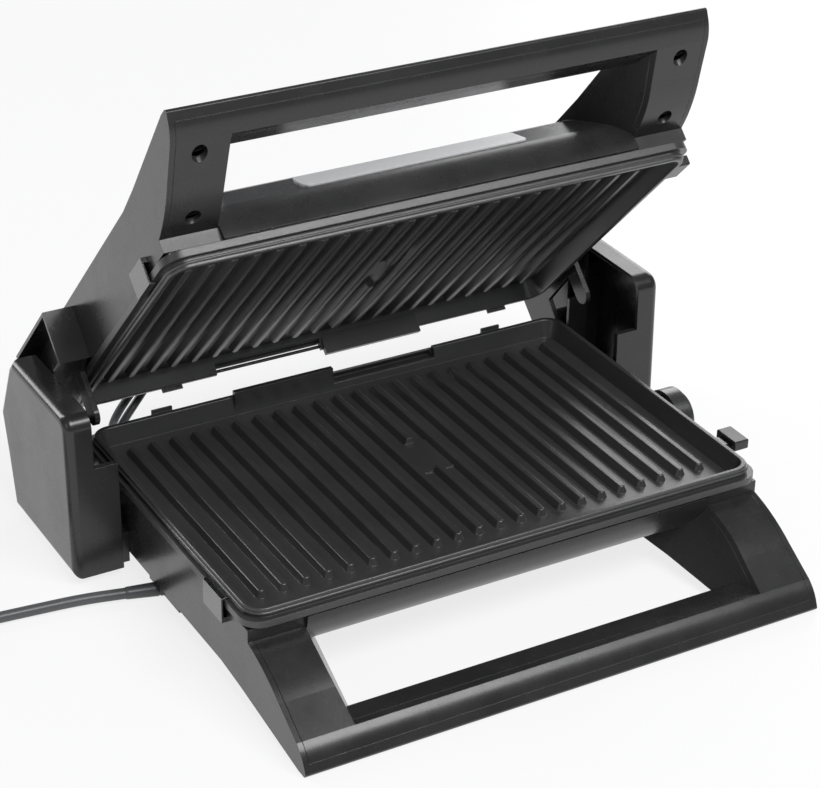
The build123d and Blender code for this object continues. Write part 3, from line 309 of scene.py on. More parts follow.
def grain_group():
    """Moulded grain: eased edges, a dimpled normal, and a roughness that drifts over the part."""
    nodes, given, result = new_group(
        "Moulded grain",
        [("Grain Scale", "value", 1600.0), ("Grain Depth", "value", 0.2), ("Roughness", "value", 0.35),
         ("Drift", "value", 0.08), ("Edge Radius", "value", 0.0005)],
        [("Normal", "vector"), ("Roughness", "value"), ("Mottle", "value")],
    )
    place = nodes.object_place()
    eased = nodes.put(nodes.add("ShaderNodeBevel", samples=4), Radius=given["Edge Radius"])
    dimples = nodes.put(
        nodes.add("ShaderNodeTexNoise"), Vector=place, Scale=given["Grain Scale"], Detail=1.5
    )
    bump = nodes.put(
        nodes.add("ShaderNodeBump"), Distance=0.00012, Strength=given["Grain Depth"],
        Height=dimples.outputs["Fac"], Normal=eased.outputs["Normal"],
    )
    broad = nodes.noise(place, 26.0, 3.0, 0.55)
    smudge = nodes.noise(place, 95.0, 4.0, 0.62)
    wander = nodes.maths(
        "ADD", nodes.maths("MULTIPLY", broad, 0.65), nodes.maths("MULTIPLY", smudge, 0.35)
    )
    centred = nodes.maths("SUBTRACT", wander, 0.5)
    shift = nodes.maths("MULTIPLY", centred, nodes.maths("MULTIPLY", given["Drift"], 4.0))
    nodes.link(bump.outputs["Normal"], result["Normal"])
    nodes.link(nodes.maths("ADD", given["Roughness"], shift), result["Roughness"])
    nodes.link(broad, result["Mottle"])
    return nodes.tree


def edge_group():
    """Edge wear: a mask that is bright where two faces meet, broken up by noise."""
    nodes, given, result = new_group(
        "Edge wear", [("Width", "value", 0.0006), ("Amount", "value", 0.5)], [("Mask", "value")]
    )
    place = nodes.object_place()
    rounded = nodes.put(nodes.add("ShaderNodeBevel", samples=4), Radius=given["Width"])
    flat = nodes.add("ShaderNodeNewGeometry").outputs["Normal"]
    product = nodes.add("ShaderNodeVectorMath", operation="DOT_PRODUCT")
    nodes.link(rounded.outputs["Normal"], product.inputs[0])
    nodes.link(flat, product.inputs[1])
    edge = nodes.ramp(product.outputs["Value"], 0.99, 0.86)
    broken = nodes.ramp(nodes.noise(place, 240.0, 4.0, 0.65), 0.38, 0.62)
    mask = nodes.maths("MULTIPLY", nodes.maths("MULTIPLY", edge, broken), given["Amount"])
    nodes.link(mask, result["Mask"])
    return nodes.tree


def dust_group():
    """Dust and faint handling marks: a soft mask that gathers on faces turned upward."""
    nodes, given, result = new_group("Settled dust", [("Amount", "value", 0.1)], [("Mask", "value")])
    place = nodes.object_place()
    specks = nodes.ramp(nodes.noise(place, 820.0, 3.0, 0.7), 0.56, 0.80)
    film = nodes.ramp(nodes.noise(place, 34.0, 4.0, 0.6), 0.42, 0.75)
    normal = nodes.add("ShaderNodeSeparateXYZ")
    nodes.link(nodes.add("ShaderNodeNewGeometry").outputs["Normal"], normal.inputs[0])
    upward = nodes.ramp(normal.outputs["Z"], 0.1, 0.95)
    both = nodes.maths("ADD", nodes.maths("MULTIPLY", specks, 0.6), nodes.maths("MULTIPLY", film, 0.4))
    mask = nodes.maths("MULTIPLY", nodes.maths("MULTIPLY", both, upward), given["Amount"])
    nodes.link(mask, result["Mask"])
    return nodes.tree


def brushed_group():
    """Brushed or rolled metal: fine streaks along one axis as a normal and a roughness."""
    nodes, given, result = new_group(
        "Rolled metal",
        [("Stretch", "vector", (40.0, 1600.0, 1600.0)), ("Depth", "value", 0.15),
         ("Roughness", "value", 0.3)],
        [("Normal", "vector"), ("Roughness", "value"), ("Streaks", "value")],
    )
    place = nodes.object_place()
    mapping = nodes.add("ShaderNodeVectorMath", operation="MULTIPLY")
    nodes.link(place, mapping.inputs[0])
    nodes.link(given["Stretch"], mapping.inputs[1])
    streaks = nodes.noise(mapping.outputs[0], 1.0, 3.0, 0.6)
    eased = nodes.put(nodes.add("ShaderNodeBevel", samples=4), Radius=0.0003)
    bump = nodes.put(
        nodes.add("ShaderNodeBump"), Distance=0.00005, Strength=given["Depth"], Height=streaks,
        Normal=eased.outputs["Normal"],
    )
    drift = nodes.maths("MULTIPLY", nodes.maths("SUBTRACT", streaks, 0.5), 0.25)
    nodes.link(bump.outputs["Normal"], result["Normal"])
    nodes.link(nodes.maths("ADD", given["Roughness"], drift), result["Roughness"])
    nodes.link(streaks, result["Streaks"])
    return nodes.tree


GROUPS = {}


def shared(name):
    """One of the shared shader groups, built the first time it is asked for."""
    makers = {"grain": grain_group, "edge": edge_group, "dust": dust_group, "brushed": brushed_group}
    if name not in GROUPS:
        GROUPS[name] = makers[name]()
    return GROUPS[name]


def use_group(nodes, name, **values):
    """Place a shared group in a material with its own values."""
    node = nodes.add("ShaderNodeGroup")
    node.node_tree = shared(name)
    return nodes.put(node, **values)


def new_material(name, **constants):
    """Principled material whose fixed values sit on the shader's own sockets."""
    material = bpy.data.materials.new(name)
    material.use_nodes = True
    nodes = Nodes(material.node_tree)
    shader = material.node_tree.nodes["Principled BSDF"]
    nodes.put(shader, **constants)
    return material, nodes, shader


def dress(nodes, shader, colour, surface):
    """Give a shader its colour, and the roughness and normal that a shared group puts out."""
    given = surface.outputs
    nodes.put(shader, Base_Color=colour, Roughness=given["Roughness"], Normal=given["Normal"])


def lighter(colour, factor, lift=0.0):
    """Colour made lighter by a factor and a lift, with its alpha."""
    return (*(min(1.0, channel * factor + lift) for channel in colour), 1.0)


def moulded(
    name, colour, roughness, grain_scale, grain_depth, drift=0.08, dust=0.10, edge=0.0005, **constants
):
    """Moulded plastic or rubber: grain, worn edges, faint dust and a slightly uneven colour."""
    material, nodes, shader = new_material(name, **constants)
    grain = use_group(
        nodes, "grain", Grain_Scale=grain_scale, Grain_Depth=grain_depth, Roughness=roughness, Drift=drift,
        Edge_Radius=edge,
    )
    wear = use_group(nodes, "edge", Width=edge * 1.3, Amount=0.35)
    film = use_group(nodes, "dust", Amount=dust)
    uneven = nodes.mix_colour(grain.outputs["Mottle"], lighter(colour, 0.86), lighter(colour, 1.16))
    worn = nodes.mix_colour(wear.outputs["Mask"], uneven, lighter(colour, 1.9, 0.01))
    dusted = nodes.mix_colour(film.outputs["Mask"], worn, (0.32, 0.31, 0.30, 1.0))
    dress(nodes, shader, dusted, grain)
    return material


def metal(name, colour, roughness, stretch, depth, tint=None, tint_share=0.0, metallic=1.0, **constants):
    """Rolled or turned metal with streaks and an uneven tint."""
    material, nodes, shader = new_material(name, Metallic=metallic, **constants)
    rolled = use_group(nodes, "brushed", Depth=depth, Roughness=roughness)
    rolled.inputs["Stretch"].default_value = stretch
    place = nodes.object_place()
    patches = nodes.ramp(nodes.noise(place, 45.0, 4.0, 0.6), 0.35, 0.75, 0.0, tint_share)
    streaked = nodes.mix_colour(rolled.outputs["Streaks"], lighter(colour, 0.88), lighter(colour, 1.06))
    tinted = nodes.mix_colour(patches, streaked, tint or lighter(colour, 0.8))
    dress(nodes, shader, tinted, rolled)
    return material


def coated(name, colour, roughness):
    """Non-stick coating: orange-peel skin, fine pale flecks and a light wipe pattern."""
    material, nodes, shader = new_material(name, Specular_IOR_Level=0.85)
    grain = use_group(
        nodes, "grain", Grain_Scale=950.0, Grain_Depth=0.42, Roughness=roughness, Drift=0.07,
        Edge_Radius=0.0004,
    )
    place = nodes.object_place()
    cells = nodes.put(nodes.add("ShaderNodeTexVoronoi", feature="F1"), Vector=place, Scale=1500.0)
    flecks = nodes.ramp(cells.outputs["Distance"], 0.17, 0.08)
    thinned = nodes.maths("MULTIPLY", flecks, nodes.ramp(nodes.noise(place, 700.0, 1.0), 0.52, 0.60))
    uneven = nodes.mix_colour(grain.outputs["Mottle"], lighter(colour, 0.85), lighter(colour, 1.18))
    speckled = nodes.mix_colour(nodes.maths("MULTIPLY", thinned, 0.55), uneven, lighter(colour, 4.0, 0.03))
    film = use_group(nodes, "dust", Amount=0.06)
    dusted = nodes.mix_colour(film.outputs["Mask"], speckled, (0.30, 0.29, 0.28, 1.0))
    dress(nodes, shader, dusted, grain)
    return material


FINISHES = {}


def finish(slot):
    """Material of one record slot."""
    return FINISHES[slot]


# Mesh helpers


def place_piece(name, mesh, slot, body=None):
    """Put a finished mesh in the scene with its slot's finish, riding on a body."""
    piece = bpy.data.objects.new(name, mesh)
    bpy.context.scene.collection.objects.link(piece)
    if not mesh.materials:
        mesh.materials.append(finish(slot))
    if body:
        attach(piece, body)
    return piece


def mesh_from(name, verts, faces, smooth=True):
    """Mesh of plain lists, outside faces outward."""
    mesh = bpy.data.meshes.new(name)
    mesh.from_pydata([tuple(v) for v in verts], [], faces)
    work = bmesh.new()
    work.from_mesh(mesh)
    bmesh.ops.remove_doubles(work, verts=work.verts, dist=1e-7)
    bmesh.ops.recalc_face_normals(work, faces=work.faces)
    for face in work.faces:
        face.smooth = smooth
    work.to_mesh(mesh)
    work.free()
    return mesh


def ring_skin(rings, close_ends=True):
    """Vertices and faces of a skin over equal rings of points, with both ends closed."""
    count = len(rings[0])
    verts = [point for ring in rings for point in ring]
    faces = []
    for row in range(len(rings) - 1):
        for k in range(count):
            after = (k + 1) % count
            a, b = row * count + k, row * count + after
            faces.append((a, b, b + count, a + count))
    if close_ends:
        last = (len(rings) - 1) * count
        faces.append(tuple(range(count - 1, -1, -1)))
        faces.append(tuple(range(last, last + count)))
    return verts, faces


def sharpen(mesh, angle=radians(35)):
    """Mark the edges that turn by more than an angle as sharp."""
    mesh.set_sharp_from_angle(angle=angle)
    return mesh


def lathe(name, profile, centre, axis, across, segments=64):
    """Closed turned body: a profile of (along, radius) about an axis."""
    axis = Vector(axis).normalized()
    side = Vector(across).normalized()
    other = axis.cross(side)
    rings = []
    for along, radius in profile:
        ring = []
        for k in range(segments):
            turn = 2 * pi * k / segments
            ring.append(centre + axis * along + (side * cos(turn) + other * sin(turn)) * radius)
        rings.append(ring)
    return mesh_from(name, *ring_skin(rings))


def spline_points(curve_object):
    """Points of a curve's own line, read from its spline without its thickness."""
    shown = curve_object.copy()
    shown.data = curve_object.data.copy()
    shown.data.bevel_depth = 0
    bpy.context.scene.collection.objects.link(shown)
    bpy.context.view_layer.update()
    mesh = bpy.data.meshes.new_from_object(shown.evaluated_get(bpy.context.evaluated_depsgraph_get()))
    points = [v.co.copy() for v in mesh.vertices]
    bpy.data.objects.remove(shown)
    return points


def cord_curve(name, points, diameter, resolution=12):
    """Curve of one smooth open spline through given points, as thick as the cord."""
    data = bpy.data.curves.new(name, "CURVE")
    data.dimensions = "3D"
    data.bevel_depth = diameter / 2
    data.bevel_resolution = 6
    data.resolution_u = resolution
    data.use_fill_caps = True
    spline = data.splines.new("NURBS")
    spline.points.add(len(points) - 1)
    for slot_point, point in zip(spline.points, points):
        slot_point.co = (*point, 1.0)
    spline.order_u = 3
    spline.use_endpoint_u = True
    piece = bpy.data.objects.new(name, data)
    bpy.context.scene.collection.objects.link(piece)
    return piece


def tube_along(points, radius, sides=16):
    """Rings of a tube that follows points without twisting."""
    rings = []
    way = (points[1] - points[0]).normalized()
    side = way.orthogonal().normalized()
    for k, point in enumerate(points):
        ahead = points[min(k + 1, len(points) - 1)]
        behind = points[max(k - 1, 0)]
        new_way = (ahead - behind).normalized()
        side = (way.rotation_difference(new_way) @ side).normalized()
        way = new_way
        other = way.cross(side)
        rings.append([
            point + (side * cos(2 * pi * j / sides) + other * sin(2 * pi * j / sides)) * radius
            for j in range(sides)
        ])
    return rings


# Stage and camera


class GRILL_OT_stage(bpy.types.Operator):
    """Camera, plain pale floor and soft studio light"""

    bl_idname = "grill.stage"
    bl_label = "Studio"

    def execute(self, context):
        settings = context.scene.grill_stage
        azimuth, elevation = settings.azimuth, settings.elevation
        back = Vector((sin(azimuth) * cos(elevation), -cos(azimuth) * cos(elevation), sin(elevation)))
        right = Vector((0, 0, 1)).cross(back).normalized()
        up = back.cross(right)
        rolled_right = right * cos(settings.roll) + up * sin(settings.roll)
        rolled_up = up * cos(settings.roll) - right * sin(settings.roll)
        data = bpy.data.cameras.new("camera")
        data.lens = settings.lens
        data.sensor_width = 36
        data.sensor_fit = "HORIZONTAL"
        camera = bpy.data.objects.new("camera", data)
        context.scene.collection.objects.link(camera)
        turn = Matrix((rolled_right, rolled_up, back)).transposed()
        camera.matrix_world = Matrix.Translation(Vector(settings.place)) @ turn.to_4x4()
        context.scene.camera = camera
        self.floor(context, settings.floor_size)
        self.lamps(context)
        self.world(context, settings.world_strength)
        context.scene.view_settings.view_transform = "Standard"
        return {"FINISHED"}

    def floor(self, context, size):
        """Plain floor that stays white behind the grill and keeps its shadow."""
        half = size / 2
        corners = [(-half, -half, 0), (half, -half, 0), (half, half, 0), (-half, half, 0)]
        mesh = bpy.data.meshes.new("floor")
        mesh.from_pydata(corners, [], [(0, 1, 2, 3)])
        floor = bpy.data.objects.new("floor", mesh)
        floor.location.z = -0.0002
        context.scene.collection.objects.link(floor)
        material, nodes, shader = new_material("pale floor", Roughness=0.32, Specular_IOR_Level=0.35)
        place = nodes.object_place()
        cloud = nodes.noise(place, 3.0, 3.0)
        paper = nodes.mix_colour(cloud, (0.84, 0.84, 0.845, 1), (0.87, 0.87, 0.87, 1))
        nodes.put(shader, Base_Color=paper)
        white = nodes.put(nodes.add("ShaderNodeEmission"), Color=(1, 1, 1, 1), Strength=1.0)
        rays = nodes.add("ShaderNodeLightPath").outputs
        seen = nodes.maths("MAXIMUM", rays["Is Camera Ray"], rays["Is Glossy Ray"])
        seen = nodes.maths("MAXIMUM", seen, rays["Is Transmission Ray"])
        mix = nodes.add("ShaderNodeMixShader")
        nodes.link(nodes.maths("MULTIPLY", seen, FLOOR_GLOW), mix.inputs[0])
        nodes.link(shader.outputs[0], mix.inputs[1])
        nodes.link(white.outputs[0], mix.inputs[2])
        nodes.link(mix.outputs[0], material.node_tree.nodes["Material Output"].inputs["Surface"])
        mesh.materials.append(material)

    def lamps(self, context):
        """Soft boxes: a strip left rear, a weak one left, a broad one right rear, a high one in front."""
        boxes = (
            ("left rear strip", (-1.15, 1.75, 1.15), (0, 0, 0.1), (0.5, 1.6), 18),
            ("left box", (-2.1, -0.7, 1.1), (0, 0, 0.1), (1.2, 1.2), 4),
            ("right rear box", (1.9, 1.6, 1.0), (0, 0, 0.12), (1.6, 1.5), 24),
            ("front box", (0.3, -1.5, 2.1), (0, 0, 0.12), (2.0, 1.0), 60),
        )
        for name, place, target, size, power in boxes:
            data = bpy.data.lights.new(name, "AREA")
            data.shape = "RECTANGLE"
            data.size, data.size_y = size
            data.energy = power
            lamp = bpy.data.objects.new(name, data)
            context.scene.collection.objects.link(lamp)
            way = Vector(target) - Vector(place)
            turn = way.to_track_quat("-Z", "Y").to_matrix().to_4x4()
            lamp.matrix_world = Matrix.Translation(Vector(place)) @ turn

    def world(self, context, strength):
        """Even grey light all round, and a white sheet where the camera looks past the grill."""
        world = bpy.data.worlds.new("studio")
        context.scene.world = world
        world.use_nodes = True
        nodes = Nodes(world.node_tree)
        world.node_tree.nodes.clear()
        light = nodes.put(nodes.add("ShaderNodeBackground"), Color=(0.93, 0.95, 1.0, 1), Strength=strength)
        sheet = nodes.put(nodes.add("ShaderNodeBackground"), Color=(1, 1, 1, 1), Strength=1.0)
        rays = nodes.add("ShaderNodeLightPath").outputs
        seen = nodes.maths("MAXIMUM", rays["Is Camera Ray"], rays["Is Transmission Ray"])
        mix = nodes.add("ShaderNodeMixShader")
        nodes.link(seen, mix.inputs[0])
        nodes.link(light.outputs[0], mix.inputs[1])
        nodes.link(sheet.outputs[0], mix.inputs[2])
        nodes.link(mix.outputs[0], nodes.add("ShaderNodeOutputWorld").inputs["Surface"])


# Finishes


class GRILL_OT_finishes(bpy.types.Operator):
    """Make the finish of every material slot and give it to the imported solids"""

    bl_idname = "grill.finishes"
    bl_label = "Finishes"

    def execute(self, context):
        look = context.scene.grill_finish
        grain = 1 / look.grain_size
        FINISHES.update({
            "dark_plastic": moulded(
                "satin black plastic", look.body_colour, look.body_gloss, grain, 0.14,
                Specular_IOR_Level=0.5, Coat_Weight=0.12, Coat_Roughness=0.16, Coat_IOR=1.5,
            ),
            "gloss_plastic": moulded(
                "knob plastic", look.knob_colour, 0.25, grain * 1.4, 0.10, drift=0.05,
                Specular_IOR_Level=1.0,
            ),
            "nonstick_coating": coated("non-stick coating", look.coating_colour, look.coating_gloss),
            "sheet_steel": metal("plated sheet steel", look.steel_colour, 0.30, (40, 1600, 1600), 0.2),
            "screw_steel": metal("blackened screw steel", (0.30, 0.30, 0.31), 0.34, (900, 900, 900), 0.15),
            "element_steel": metal(
                "heat-stained element", (0.23, 0.22, 0.20), 0.5, (60, 900, 900), 0.3,
                tint=(0.16, 0.11, 0.08, 1), tint_share=0.7,
            ),
            "bright_aluminium": metal(
                "bright aluminium", look.trim_colour, 0.34, (12, 2200, 2200), 0.06, metallic=0.35
            ),
            "black_rubber": moulded("matte rubber", look.rubber_colour, 0.68, 1200, 0.35, edge=0.0003),
            "cord_jacket": moulded(
                "cord jacket", look.jacket_colour, 0.36, 700, 0.12, dust=0.05, edge=0.0002
            ),
            "insulator": moulded("insulating moulding", look.insulator_colour, 0.6, 900, 0.3, dust=0.0),
            "pin_brass": metal("plated brass", look.brass_colour, 0.22, (1400, 50, 1400), 0.1),
        })
        slots = {part["node"]: part["material_slot"] for part in frame["record"]["subparts"]}
        missing = sorted(set(frame["nodes"]) - set(slots))
        if missing:
            raise RuntimeError(f"these solids have no finish: {missing}")
        for name, node in frame["nodes"].items():
            node.data.materials.clear()
            node.data.materials.append(finish(slots[name]))
        return {"FINISHED"}


# Mains cord

FOOT_EXIT = Vector((-152.0, 18.99, 4.4))
EXIT_WAY = Vector((-0.973, 0.2308, 0.0)).normalized()
RELIEF_LENGTH = 20.0
COIL_MIDDLE = Vector((-290.0, 75.64, 0.0))
COIL_PITCH = 6.9
COIL_TURNS = 3.25
COIL_MEAN = 35.3
COIL_OUTER = COIL_MEAN + COIL_PITCH * COIL_TURNS / 4
COIL_LOW = 4.5
COIL_RISE = 7.4
TAIL = 36.0

# Tie round the coil
CORD_RADIUS = 3.15
TIE_SLACK = 0.4
TIE_LIFT = 0.3

# Pins of the plug
PLUG_FACE = 38.0
PIN_ROOT = 37.0
PIN_SPREAD = 6.35
PIN_LEVEL = 3.0
PIN_REACH = 15.9
PIN_HALF_THICK = 0.75
PIN_HALF_WIDTH = 3.1
EARTH_LEVEL = -6.0
EARTH_REACH = 17.9
EARTH_RADIUS = 2.3


def coil_place(turns, spread=1.0):
    """Point of the coil after so many turns: inward on the table, then outward on top."""
    reverse = COIL_TURNS / 2
    radius = COIL_OUTER - COIL_PITCH * (turns if turns < reverse else COIL_TURNS - turns)
    share = min(1.0, max(0.0, (turns - reverse) / 0.5 + 0.5))
    angle = -pi / 2 - 2 * pi * turns
    height = COIL_LOW + COIL_RISE * share * share * (3 - 2 * share)
    return COIL_MIDDLE + Vector((radius * spread * cos(angle), radius * spread * sin(angle), height))


class GRILL_OT_mains_cord(bpy.types.Operator):
    """Mains cord with its coil, strain relief, tie and plug"""

    bl_idname = "grill.mains_cord"
    bl_label = "Mains cord"

    def execute(self, context):
        settings = context.scene.grill_cord
        relief_tip = FOOT_EXIT + EXIT_WAY * RELIEF_LENGTH
        start = COIL_MIDDLE + Vector((6.3, -COIL_OUTER, COIL_LOW))
        points = [
            FOOT_EXIT,
            relief_tip,
            relief_tip + EXIT_WAY * 24,
            Vector((-223.5, 33.84, 3.2)),
            Vector((-253.0, start.y, COIL_LOW)),
            start,
        ]
        step = 1 / settings.turn_points
        spread = 1 / cos(pi * step)
        count = round(COIL_TURNS / step)
        points += [coil_place(k * step, spread) for k in range(1, count)]
        end = coil_place(COIL_TURNS)
        plug_start = end + Vector((0, TAIL, 0))
        points += [end + Vector((0, -1.0, 0)), end + Vector((0, TAIL / 2, 0)), plug_start]
        cord = cord_curve("mains_cord_run", [p * MM for p in points], settings.diameter)
        cord.data.materials.append(finish("cord_jacket"))
        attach(cord, "base")
        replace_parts(cord, "mains_cord", "cord_coil")
        relief = self.relief(settings.diameter / 2)
        plug, pins = self.plug(plug_start * MM)
        tie = self.tie()
        return {"FINISHED"}

    def relief(self, cord_radius):
        """Tapered strain relief with one collar, from inside the foot."""
        profile = [(-7.4, 3.9), (-7.2, 4.1), (0.0, 4.15), (0.6, 4.15), (1.0, 3.8), (1.6, 3.8), (2.0, 4.1)]
        profile += [(2.0 + k * 1.6, 4.1 - 0.055 * k - 0.02 * (k % 2)) for k in range(1, 11)]
        profile += [(19.2, 3.5), (19.9, 3.3)]
        profile = [(along * MM, radius * MM) for along, radius in profile]
        mesh = lathe("strain_relief", profile, FOOT_EXIT * MM, EXIT_WAY, (0, 0, 1), 40)
        piece = place_piece("strain_relief", mesh, "cord_jacket", "base")
        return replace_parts(piece, "cord_strain_relief")

    def plug(self, start):
        """Moulded plug: ribbed neck, soft square body and a flat face with its pins."""
        neck = (
            (0, 4.6), (1.0, 4.75), (2.4, 4.4), (3.4, 4.9), (4.8, 4.6), (5.8, 5.4), (7.4, 5.2), (8.4, 6.1),
            (10.2, 6.4), (12.0, 7.3),
        )
        sections = [(along, radius, radius, 2.0) for along, radius in neck]
        sections += [
            (14.0, 7.9, 7.9, 2.6), (17.0, 9.6, 9.4, 3.4), (20.0, 11.4, 11.2, 4.2), (24.0, 11.7, 11.6, 5.0),
            (30.0, 11.6, 11.5, 5.4), (36.6, 11.7, 11.6, 5.6), (37.6, 11.5, 11.4, 5.6),
            (37.9, 10.9, 10.8, 5.4),
        ]
        rings = []
        for along, wide, high, square in sections:
            ring = []
            for k in range(48):
                turn = 2 * pi * k / 48
                c, s = cos(turn), sin(turn)
                x = abs(c) ** (2 / square) * (1 if c > 0 else -1) * wide
                z = abs(s) ** (2 / square) * (1 if s > 0 else -1) * high
                ring.append(start + Vector((x, along, z)) * MM)
            rings.append(ring)
        mesh = sharpen(mesh_from("mains_plug_body", *ring_skin(rings)), radians(50))
        body = place_piece("mains_plug_body", mesh, "cord_jacket", "base")
        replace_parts(body, "mains_plug")
        verts, faces = [], []
        thick, wide = PIN_HALF_THICK, PIN_HALF_WIDTH
        outline = [(-thick, -wide), (thick, -wide), (thick, wide), (-thick, wide)]
        for x in (-PIN_SPREAD, PIN_SPREAD):
            self.pin(verts, faces, start, x, PIN_LEVEL, outline, PIN_REACH)
        round_outline = [
            (EARTH_RADIUS * cos(2 * pi * k / 24), EARTH_RADIUS * sin(2 * pi * k / 24)) for k in range(24)
        ]
        self.pin(verts, faces, start, 0.0, EARTH_LEVEL, round_outline, EARTH_REACH)
        pins = place_piece("mains_plug_pins", sharpen(mesh_from("pins", verts, faces)), "pin_brass", "base")
        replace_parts(pins, "plug_pins")
        return body, pins

    def pin(self, verts, faces, start, x, z, outline, reach):
        """One pin with an eased tip."""
        rings = []
        tip = PLUG_FACE + reach
        for along, scale in ((PIN_ROOT, 1.0), (tip - 1.6, 1.0), (tip - 0.5, 0.82), (tip, 0.55)):
            rings.append([start + Vector((x + a * scale, along, z + b * scale)) * MM for a, b in outline])
        new_verts, new_faces = ring_skin(rings)
        base = len(verts)
        verts += new_verts
        faces += [tuple(i + base for i in face) for face in new_faces]

    def tie(self):
        """Ribbed band round the turns of the coil."""
        inner = COIL_MIDDLE.y + COIL_OUTER - 1.5 * COIL_PITCH - CORD_RADIUS - TIE_SLACK
        outer = COIL_MIDDLE.y + COIL_OUTER - 0.5 * COIL_PITCH + CORD_RADIUS + TIE_SLACK
        low = COIL_LOW - CORD_RADIUS - TIE_LIFT
        high = COIL_LOW + COIL_RISE + CORD_RADIUS + TIE_LIFT
        middle = Vector(((inner + outer) / 2, (low + high) / 2))
        half = Vector(((outer - inner) / 2, (high - low) / 2))
        outside = (
            (-3.0, 0.35), (-2.6, 0.75), (-0.9, 0.75), (-0.5, 0.5), (0.5, 0.5), (0.9, 0.75), (2.6, 0.75),
            (3.0, 0.35),
        )
        inside = ((3.0, 0.0), (-3.0, 0.0))
        rings = [self.band_ring(middle, half, x, thick) for x, thick in outside + inside]
        rings.append(rings[0])
        verts, faces = ring_skin(rings, close_ends=False)
        piece = place_piece("coil_tie_band", sharpen(mesh_from("tie", verts, faces)), "black_rubber", "base")
        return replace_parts(piece, "cord_tie")

    def band_ring(self, middle, half, x, thick):
        """One rounded ring of the tie at one place across it."""
        ring = []
        for k in range(64):
            turn = 2 * pi * k / 64
            c, s = cos(turn), sin(turn)
            y = middle.x + (half.x + thick) * abs(c) ** 0.4 * (1 if c > 0 else -1)
            z = middle.y + (half.y + thick) * abs(s) ** 0.4 * (1 if s > 0 else -1)
            ring.append(Vector((COIL_MIDDLE.x + x, y, z)) * MM)
        return ring


class GRILL_OT_link_lead(bpy.types.Operator):
    """Two sleeved conductors that carry the current from the base into the lid"""

    bl_idname = "grill.link_lead"
    bl_label = "Link lead"

    def execute(self, context):
        thick = context.scene.grill_cord.strand_diameter
        lid_end = lid_point(98.0, -107.0, 10.0) / MM
        base_end = base_point(-132.5, -107.0, 11.5) / MM
        lid_back = lid_way(0, -1, 0) * 7
        upper = [
            lid_end + Vector((-2.8, 0, 0)),
            lid_end + Vector((-2.8, 0, 0)) + lid_back,
            Vector((lid_end.x - 15, HINGE.y + 24.95, HINGE.z + 11.2)),
            Vector((base_end.x + 7, HINGE.y + 17.95, HINGE.z + 3.4)),
            Vector((base_end.x - 1.5, HINGE.y + 6.45, base_end.z + 2.5)),
            base_end + Vector((-1.5, 0, 2.5)),
        ]
        lower = [
            lid_end + Vector((2.8, 0, 0)),
            lid_end + Vector((2.8, 0, 0)) + lid_back,
            Vector((lid_end.x - 9.5, HINGE.y + 25.45, HINGE.z + 6.8)),
            Vector((base_end.x + 11, HINGE.y + 17.95, HINGE.z - 2.2)),
            Vector((base_end.x + 1.5, HINGE.y + 6.45, base_end.z - 2.5)),
            base_end + Vector((1.5, 0, -2.5)),
        ]
        for name, route in (("upper", upper), ("lower", lower)):
            self.strand(name, [p * MM for p in route], thick)
        return {"FINISHED"}

    def strand(self, name, route, thick):
        """One conductor as two lengths that meet over the hinge."""
        guide = cord_curve(f"{name}_guide", route, thick, 24)
        points = spline_points(guide)
        bpy.data.objects.remove(guide)
        middle = len(points) // 2
        for part, run, bodies in (
            ("lid_side", points[: middle + 1], ("lid", "hinge_carriage")),
            ("base_side", points[middle:], ("hinge_carriage", "base")),
        ):
            rings = tube_along(run, thick / 2)
            piece_name = f"link_lead_{name}_{part}"
            piece = place_piece(piece_name, mesh_from(piece_name, *ring_skin(rings)), "cord_jacket")
            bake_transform(piece)
            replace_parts(piece, "link_lead")


# Screws


